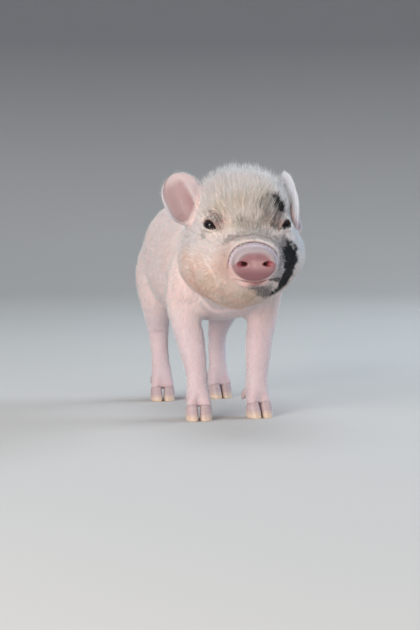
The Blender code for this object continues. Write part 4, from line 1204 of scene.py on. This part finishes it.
def claw_rings(way):
    """Rings of one toe from its flat sole up: ovals set back with height, their front drawn inwards.

    A ring is |x / half|^2.3 + |y / reach|^2.3 = 1, with its own reach to the toe and to the heel. Above the
    slanted line of the coronet the horn narrows, where it goes on inside the flesh.
    """
    level = np.array(CLAW_LEVELS)
    height = np.concatenate([[0.0, 0.0, 0.25, 0.7], np.linspace(1.4, 12.5, CLAW_RINGS)])
    bevel = np.array([0.55, 0.93, 0.975, 1.0] + [1.0] * CLAW_RINGS)
    back, heel, toe, half = (np.interp(height, level[:, 0], level[:, i]) for i in range(1, 5))
    phi = np.linspace(0, 2 * math.pi, CLAW_SIDES, endpoint=False)
    c, s = np.cos(phi), np.sin(phi)
    x = np.sign(c) * np.abs(c) ** (2 / CLAW_POWER) * (half * bevel)[:, None]
    front = np.sign(s) * np.abs(s) ** (2 / CLAW_POWER)
    y = -front * np.where(s > 0, toe[:, None], heel[:, None]) * bevel[:, None]
    forward = np.clip(-y / 7.6, 0, 1)
    x = x - way * 1.3 * forward**1.5
    z = np.broadcast_to(height[:, None], x.shape)
    y = y + back[:, None] - 3.6
    coronet = CORONET[0] + (CORONET[1] - CORONET[0]) * np.clip((6 - y) / 14, 0, 1)
    narrow = 1 - 0.16 * eased((z - coronet + 0.2) / 1.2)
    z = np.minimum(z, coronet + 1.6)
    x, y = x * narrow, (y + 2.5) * narrow - 2.5
    ring_relief = 0.05 * np.sin(z * 5.2 + 0.4 * np.sin(3 * phi)) * eased(z / 1.5)
    return np.stack([way * TOE_SPREAD + x * (1 + ring_relief / 4), y, z], -1)


def on_foot(points, side, place, heading):
    """Out of a foot's own frame, whose -Y points to its toes, into the body's."""
    turn = math.radians(heading) * side
    x, y, z = points[..., 0], points[..., 1], points[..., 2]
    across = x * math.cos(turn) - y * math.sin(turn) + side * place[0]
    along = x * math.sin(turn) + y * math.cos(turn) + place[1]
    return from_body(np.stack([across, along, z], -1))


horn = Finish(
    "pale_horn", Roughness=0.32, IOR=1.5, Subsurface_Weight=0.3, Subsurface_Scale=0.002,
    Subsurface_Radius=(1.0, 0.55, 0.35),
)
bands = horn.noise(420.0, 3.0, stretch=(0.25, 0.25, 2.2))
cloud = horn.noise(160.0)
straw_tone = horn.mixed(bands, (0.58, 0.45, 0.35), (0.74, 0.63, 0.53))
mauve_tone = horn.mixed(bands, (0.38, 0.29, 0.33), (0.52, 0.43, 0.48))
horn_tone = horn.mixed((horn.height() * 260.0 + cloud * 0.9 - 0.85).held() * 0.85, straw_tone, mauve_tone)
horn.feed("Base Color", horn_tone)
horn.feed("Roughness", 0.28 + 0.16 * bands)
horn.feed("Normal", horn.bump(bands, 0.00012, 0.6))
for foot, (side, place, heading) in FEET.items():
    for way in (1, -1):
        where = "outer" if way == side else "inner"
        to_side = (way, 1, 1)
        axis = unit(np.array(DEWCLAW_AXIS) * to_side)
        root = np.array(DEWCLAW_PLACE) * to_side
        path = np.concatenate([root + axis * DEWCLAW_STEPS[:, :1], DEWCLAW_STEPS[:, 1:]], 1)
        dewclaw = tube_rings(path, DEWCLAW_RINGS, DEWCLAW_SIDES)
        claws = {foot: claw_rings(way), foot.replace("claw", "dewclaw"): dewclaw}
        for claw, rings in claws.items():
            piece = mesh_of(f"horn_{claw}_{where}", *closed_rings(on_foot(rings, side, place, heading)))
            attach(piece, "root")
            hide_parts(f"{claw}_{where}")
            horn.on(piece)


# The coat: short, straight, pale bristles, thin enough for the pink skin to show between them. They lie
# back from the nose over the face, down the legs and back along the body, stand up over the crown, and are
# shortest round the snout and on the feet. Each bristle is a closed three-sided spike.

# Where a spike's rings are along it, and how wide they are
SPIKE_STEPS, SPIKE_GIRTH = np.array([0.0, 0.38, 0.74]), np.array([1.0, 0.86, 0.55])
SPIKE_POINTS = 10
ROOT_DEPTH = 0.25
PATCH_STEP = 0.0014
# Hairs to a square millimetre of skin on the body, and how many more there are elsewhere
BODY_HAIRS, LEG_MORE, HEAD_MORE, FACE_MORE = 0.62, 0.18, 1.28, 0.60
EAR_HAIRS, TAIL_HAIRS = 1.5, 0.9
# Hair lengths and radius in mm
HAIR_LENGTH, EAR_HAIR_LENGTH, TAIL_HAIR_LENGTH = 3.9, 2.2, 2.8
HAIR_RADIUS = 0.096


def spike_faces():
    """Corners and sizes of one spike of three rings of three points and a tip: 10 faces, 16 triangles."""
    j = np.arange(3)
    k = (j + 1) % 3
    wall = np.stack([j, k, 3 + k, 3 + j], -1)
    tip = np.stack([6 + j, 6 + k, np.full(3, 9)], -1)
    corners = np.concatenate([[0, 2, 1], wall.ravel(), wall.ravel() + 3, tip.ravel()])
    return corners, np.array([3] + [4] * 6 + [3] * 3)


def spikes(name, root, normal, flow, length, girth, rise, settle, unwrap, marks):
    """Bristles as one mesh.

    A bristle's middle line is root + L (s cos(rise) flow + (s sin(rise) - settle s^2 sin(rise) / 2) normal)
    for s from 0 to 1, so that settle = 1 brings its tip to lie along the skin. Its OFBake map is a small
    patch, two PATCH_STEPs across, at the root's place on the unwrap.
    """
    count = len(root)
    flow = unit(flow - normal * np.sum(flow * normal, axis=1, keepdims=True))
    side = np.cross(flow, normal)
    s = np.append(SPIKE_STEPS, 1.0)
    run = (length * np.cos(rise))[:, None] * s
    climb = (length * np.sin(rise))[:, None] * (s - settle[:, None] * s**2 / 2)
    line = root[:, None] + (flow[:, None] * run[..., None] + normal[:, None] * climb[..., None]) * MM
    angle = np.array([math.pi / 2, math.pi * 7 / 6, math.pi * 11 / 6])
    ring = side[:, None] * np.cos(angle)[:, None] + normal[:, None] * np.sin(angle)[:, None]
    wide = (girth[:, None] * SPIKE_GIRTH)[..., None, None] * MM
    bodies = line[:, :3, None] + ring[:, None] * wide
    bodies[:, 0] -= normal[:, None] * ROOT_DEPTH * MM
    points = np.concatenate([bodies.reshape(count, 9, 3), line[:, 3:4]], 1).reshape(-1, 3)
    one_corners, one_sizes = spike_faces()
    corners = (np.arange(count)[:, None] * SPIKE_POINTS + one_corners).ravel()
    thing = mesh_of(name, points, corners, np.tile(one_sizes, count))
    across = np.append(np.tile((0.0, PATCH_STEP, 2 * PATCH_STEP), 3), PATCH_STEP)
    along = np.append(np.repeat((0.0, 0.001, 0.002), 3), 2 * PATCH_STEP)
    patch = np.stack([across, along], -1)[one_corners] - PATCH_STEP
    chart = (unwrap[:, None] + patch).reshape(-1, 2)
    layer = thing.data.uv_layers.new(name="OFBake")
    layer.data.foreach_set("uv", np.clip(chart, 0, 1).astype(np.float32).ravel())
    keep_marks(thing, {key: np.repeat(values, SPIKE_POINTS) for key, values in marks.items()})
    keep_marks(thing, {"to_tip": np.tile(np.append(np.repeat(SPIKE_STEPS, 3), 1.0), count)})
    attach(thing, "root")
    bristle.on(thing)


def lie_of_coat(h, body, part):
    """The way that the hair points: away from the nose on the head, back on the body, down the legs."""
    y, z, high = h[:, 1], h[:, 2], body[:, 2]
    face = unit(h * (0.055, 0, 0.055) + (0, 1, 0.25))
    cheek = eased((-z - 2) / 14)
    face = unit(face + cheek[:, None] * np.array((0, 0.2, -0.75)))
    crown = eased((y - 40) / 20) * eased((z - 20) / 15)
    face = unit(face + crown[:, None] * np.array((0, 0.1, 0.55)))
    face = face @ head_turn.T
    side = np.sign(body[:, :1])
    trunk = unit(side * (0.10, 0, 0) + (0, 1, -0.42))
    limb = unit(side * (0.05, 0, 0) + (0, 0.22, -1))
    leg = eased((92 - high) / 34)
    trunk = unit(trunk * (1 - leg[:, None]) + limb * leg[:, None])
    behind = eased((y - 74) / 18)
    flow = unit(face * (1 - behind[:, None]) + trunk * behind[:, None])
    for tag, (ear_side, line, *_) in zip(EAR_PARTS, EARS.values()):
        up_ear = unit(np.array(line[2], float) - np.array(line[1], float)) * (ear_side, 1, 1)
        flow[part == tag] = up_ear @ head_turn.T
    flow[part == TAIL_PART] = unit(np.array((0.15, 0.3, -1.0)))
    return flow


# The skin's triangles, as places for hair to grow
fan = mesh_of("fan", points, corners, sizes)
fan.data.calc_loop_triangles()
triangles = numbers(fan.data.loop_triangles, "vertices", 3, np.int32).astype(np.int64)
bpy.data.objects.remove(fan)
p0, p1, p2 = (points[triangles[:, i]] for i in range(3))
area = np.linalg.norm(np.cross(p1 - p0, p2 - p0), axis=1) / 2 / MM**2
mid = (p0 + p1 + p2) / 3
mid_h, mid_body = in_head(mid), in_body(mid)
mid_x, mid_y, mid_z = mid_h.T
mid_across, mid_back, mid_high = mid_body.T
mid_part = part_high[triangles].max(1)
mid_plate, mid_lid, mid_shade, mid_mouth, mid_crease, mid_inner = (
    values[triangles].mean(1) for values in (plate, lid_rim_and_fold_shade, lid_shade, mouth, crease_shade, ear_inner)
)
bare = np.clip(mid_plate + mid_mouth * 1.3 + mid_crease + (mid_lid > 0.55), 0, 1)
in_ear, in_tail = np.isin(mid_part, EAR_PARTS), mid_part == TAIL_PART
on_head = eased((94 - mid_y) / 34) * eased((mid_high - 58) / 14)
on_face = eased((58 - mid_y) / 26) * on_head
on_leg = eased((80 - mid_high) / 26) * (1 - on_head)
to_a_mm2 = BODY_HAIRS + LEG_MORE * on_leg + HEAD_MORE * on_head + FACE_MORE * on_face
to_a_mm2 = np.where(in_ear, EAR_HAIRS, np.where(in_tail, TAIL_HAIRS, to_a_mm2))
growth = area * to_a_mm2 * (1 - bare) * (1 - 0.99 * mid_inner)
growth *= 0.65 + 0.35 * eased((mid_y - 8) / 4)
growth *= 1 - 0.7 * eased(mid_shade * 1.2)
growth *= np.where(mid_high < 9, 0.0, 1.0)

elsewhere = ~in_ear & ~in_tail
is_head = (mid_y < 78) & (mid_high > 60) & elsewhere
is_leg = (mid_high < 72) & elsewhere
is_trunk = ~is_head & ~is_leg & elsewhere
is_neck = is_trunk & (mid_back < -20)
is_trunk &= ~is_neck
left, head_left = mid_across > 0, mid_x > 0
is_front = mid_y < 44
REGIONS = {
    "coat_face_left": is_head & head_left & is_front,
    "coat_face_right": is_head & ~head_left & is_front,
    "coat_crown_left": is_head & head_left & ~is_front,
    "coat_crown_right": is_head & ~head_left & ~is_front,
    "coat_neck": is_neck,
    "coat_side_left": is_trunk & left,
    "coat_side_right": is_trunk & ~left,
    "coat_fore_legs": is_leg & (mid_back < 10),
    "coat_hind_legs": is_leg & (mid_back >= 10),
    "coat_ears": in_ear,
    "coat_tail": in_tail,
}


def unwrapped(region, root):
    """Each region's own unwrap: the angle round its axis and the distance along it, both from 0 to 1."""
    x, y, z = in_head(root).T
    across, back, high = in_body(root).T
    if region.startswith(("coat_face", "coat_crown")):
        u = np.arctan2(np.abs(x), z + 4) / math.pi
        start, run = (0, 46) if "face" in region else (44, 36)
        v = (y - start) / run
    elif region == "coat_ears":
        u = (y - 40) / 80 + np.where(x > 0, 0.5, 0)
        v = (z - 5) / 50
    elif region.endswith("_legs"):
        turn = np.arctan2(back % 50 - 25, np.abs(across) - 23)
        u = np.where(across > 0, 0.5, 0) + (turn / 6.3 + 0.5) / 2
        v = high / 75
    elif region == "coat_tail":
        u = (across + 8) / 32
        v = (high - 80) / 50
    else:
        u = np.arctan2(across, high - 105) / (2 * math.pi) + 0.5
        v = (back + 75) / 200
    return np.clip(np.stack([u, v], -1) * 0.98 + 0.01, 0.005, 0.995)


bristle = Finish("bristle", Roughness=0.45, IOR=1.5, Specular_IOR_Level=0.3)
chance = bristle.mark("chance")
bristle.feed("Base Color", bristle.layered(bristle.mixed(chance, (0.70, 0.70, 0.715), (0.86, 0.88, 0.90)), [
    # Painted warm light from below on the hair of the lower face
    (bristle.mark("warm"), bristle.mixed(chance, (0.76, 0.50, 0.39), (0.88, 0.67, 0.55))),
    (bristle.mark("cream") * 0.8, bristle.mixed(chance, (0.62, 0.57, 0.47), (0.77, 0.75, 0.67))),
    # Cool white hair over the crown, and painted cool light on the head's left
    (bristle.mark("cool") * 0.8, bristle.mixed(chance, (0.68, 0.73, 0.775), (0.84, 0.885, 0.925))),
    (bristle.mark("straw"), (0.58, 0.46, 0.24)),
    ((0.5 - bristle.mark("to_tip")) * 0.3, (0.60, 0.50, 0.46)),
    (bristle.mark("dark"), bristle.mixed(chance, (0.008, 0.009, 0.010), (0.030, 0.032, 0.036))),
]))
bristle.feed("Roughness", 0.52 + 0.06 * bristle.mark("dark"))


def warm(h):
    """Share of painted warm light in the pale hair: warm light bounced up from below onto the lower cheeks,
    the jowls and the sides of the snout.
    """
    x, y, z = h.T
    share = eased((8 - z) / 20) * eased((66 - y) / 26)
    share = np.maximum(share, eased((30 - y) / 14) * eased((6 - z) / 6))
    share *= 0.25 + 0.75 * eased((14 - x) / 16)
    return np.clip(0.95 * share * (0.85 + 0.3 * ripple(h, 16, 19)), 0, 1)


def cool(h):
    """Share of cool white in the pale hair over the crown, and of painted cool light on the head's left
    behind the snout.
    """
    x, y, z = h.T
    share = eased((x - 12) / 12) * eased((y - 22) / 12) * eased((z + 12) / 14)
    return np.maximum(share, 0.75 * eased((z - 38) / 11)) * eased((84 - y) / 20)


def sown(dice, weight, count):
    """Places drawn over the skin's triangles evenly by weight: the triangle, the root and the normal."""
    reach = np.cumsum(weight)
    chosen = np.searchsorted(reach, (np.arange(count) + dice.random(count)) / count * reach[-1])
    a, b = dice.random((2, count))
    flip = a + b > 1
    a, b = np.where(flip, 1 - a, a), np.where(flip, 1 - b, b)
    corner_share = np.stack([1 - a - b, a, b], -1)
    root = np.einsum("ij,ijk->ik", corner_share, points[triangles[chosen]])
    return chosen, root, unit(np.einsum("ij,ijk->ik", corner_share, skin_normals[triangles[chosen]]))


for index, (region, mine) in enumerate(REGIONS.items()):
    dice = np.random.default_rng(100 + index)
    count = int(growth[mine].sum())
    chosen, root, normal = sown(dice, np.where(mine, growth, 0), count)
    h, body = in_head(root), in_body(root)
    flow = lie_of_coat(h, body, mid_part[chosen])
    y, z, high = h[:, 1], h[:, 2], body[:, 2]
    swirl = 0.22 * ripple(body, 14, 31) + 0.16 * ripple(body, 5, 32) + 0.14 * dice.normal(size=count)
    flow = unit(flow + np.cross(normal, flow) * swirl[:, None])
    on_head = eased((92 - y) / 16) * (high > 60)
    crown = eased((z - 16) / 16) * on_head
    by_snout = eased((26 - y) / 20) * on_head
    stands = dice.random(count) < 0.06 + 0.24 * crown
    leg = eased((84 - high) / 30) * (1 - on_head)
    length = HAIR_LENGTH - 0.2 * on_head + 0.7 * crown - 2.0 * by_snout - 1.5 * leg
    length -= 0.7 * eased((34 - high) / 24)
    length = np.where(in_tail[chosen], TAIL_HAIR_LENGTH, length)
    length = np.where(in_ear[chosen], EAR_HAIR_LENGTH, length)
    longer = np.where(stands, 1.2 + 0.2 * crown, 1.0)
    length *= dice.uniform(0.65, 1.25, count) * longer * (1 - 0.5 * mid_shade[chosen])
    tall = dice.random(count) < 0.07 * crown
    length *= np.where(tall, 1.35, 1.0)
    rise = np.radians(9 + 3 * dice.normal(size=count) + 2 * on_head + 2 * crown - 2 * leg)
    rise += np.where(stands, np.radians(12 + 24 * crown + 8 * dice.random(count)), 0)
    rise += np.where(tall, 0.5, 0)
    rise = np.clip(rise, math.radians(5), math.radians(66))
    settle = np.where(stands, 0.5 - 0.3 * crown, 1.0) + 0.1 * dice.normal(size=count)
    girth = (HAIR_RADIUS - 0.004 * on_head - 0.026 * leg) * dice.uniform(0.75, 1.3, count)
    girth = girth * (1 - 0.2 * by_snout) * np.where(stands, 0.85, 1.0)
    seen = root + flow * (0.45 * length * MM)[:, None]
    h, body = in_head(seen), in_body(seen)
    grey_share, grey_depth = grey(h)
    lot = dice.random(count)
    dusky = np.where(lot < grey_share, np.clip(grey_depth * dice.uniform(0.7, 1.3, count), 0, 1), 0)
    dark = np.where(lot < black(h, body) * 1.12 - 0.03, 1.0, dusky)
    marks = {
        "dark": dark, "chance": dice.random(count), "straw": straw(h) * dice.uniform(0.3, 1, count),
        "cream": cream(h), "warm": warm(h), "cool": cool(h),
    }
    spikes(region, root, normal, flow, length, girth, rise, settle, unwrapped(region, root), marks)


# Lashes over the eyes, and long single bristles on the snout, the chin, the brows and behind the ears. They
# are the same stuff as the coat, thinner, and stand out from the skin.

def loose(name, root, normal, flow, length, girth, rise, settle):
    """Pale single hairs as one mesh."""
    count = len(root)
    h, body = in_head(root), in_body(root)
    seen = root + flow * (0.4 * length * MM)[:, None]
    dark = np.maximum(black(h, body), black(in_head(seen), in_body(seen)))
    none = np.zeros(count)
    marks = {
        "dark": np.round(dark), "chance": np.full(count, 0.8), "straw": none,
        "cream": cream(h), "warm": none, "cool": cool(h),
    }
    chart = unwrapped("coat_face_left", root)
    spikes(name, root, normal, flow, length, girth, rise, settle, chart, marks)


LASHES, LONG_BRISTLES = 24, 64
# Lengths and radii in mm: lashes, the single hairs by the ears, and the long bristles of the face
LASH_LENGTH, SINGLE_LENGTH, LASH_RADIUS = 3.4, 7.5, 0.055
BRISTLE_LENGTHS, BRISTLE_RADIUS = (5.5, 9.0), 0.048
BROW = (20, 41, 27)
# The single hairs' places and headings
SINGLE_HAIRS = [(36, 66, 24), (35, 68, 27), (-30, 60, 10)]
SINGLE_FLOWS = [(1, 0.3, -0.35), (1, 0.5, 0.1), (-1, 0.2, -0.4)]
dice = np.random.default_rng(71)
lash_places, lash_flows = [], []
for side in (1, -1):
    share = np.linspace(-0.70, 0.92, LASHES)
    top, _ = lid_edge(share * LID_OUTER, LID_CORNER[side])
    place = EYE + share[:, None] * LID_OUTER * slit + (top + 0.75)[:, None] * lid_up + 4.8 * EYE_AIM
    flow = 0.8 * lid_up + (0.55 * share)[:, None] * slit + 0.3 * EYE_AIM
    lash_places.append(place * (side, 1, 1))
    lash_flows.append(flow * (side, 1, 1))
lash_places = np.concatenate([*lash_places, SINGLE_HAIRS])
lash_flows = np.concatenate([*lash_flows, SINGLE_FLOWS])
skin_h = in_head(points)
nearest = np.array([np.argmin(np.linalg.norm(skin_h - place, axis=1)) for place in lash_places])
count = len(nearest)
is_lash = np.arange(count) < 2 * LASHES
loose(
    "lashes", points[nearest], skin_normals[nearest], unit(lash_flows) @ head_turn.T,
    np.where(is_lash, LASH_LENGTH, SINGLE_LENGTH) * dice.uniform(0.8, 1.2, count),
    np.full(count, LASH_RADIUS),
    np.radians(np.where(is_lash, 42, 40) + 6 * dice.normal(size=count)), np.full(count, -0.2),
)
by_lip = eased((mid_y - 8) / 3) * eased((27 - mid_y) / 6) * eased((6 - mid_z) / 6)
by_brow = spot(mirrored(mid_h), BROW, 5)
weight = area * (is_head & is_front) * (1 - bare) * (by_lip + 2.5 * by_brow) * (1 - black(mid_h, mid_body))
count = LONG_BRISTLES
chosen, root, normal = sown(dice, weight, count)
flow = lie_of_coat(in_head(root), in_body(root), mid_part[chosen])
loose(
    "long_bristles", root, normal, flow,
    dice.uniform(*BRISTLE_LENGTHS, count), np.full(count, BRISTLE_RADIUS),
    np.radians(dice.uniform(22, 48, count)), np.full(count, 0.4),
)
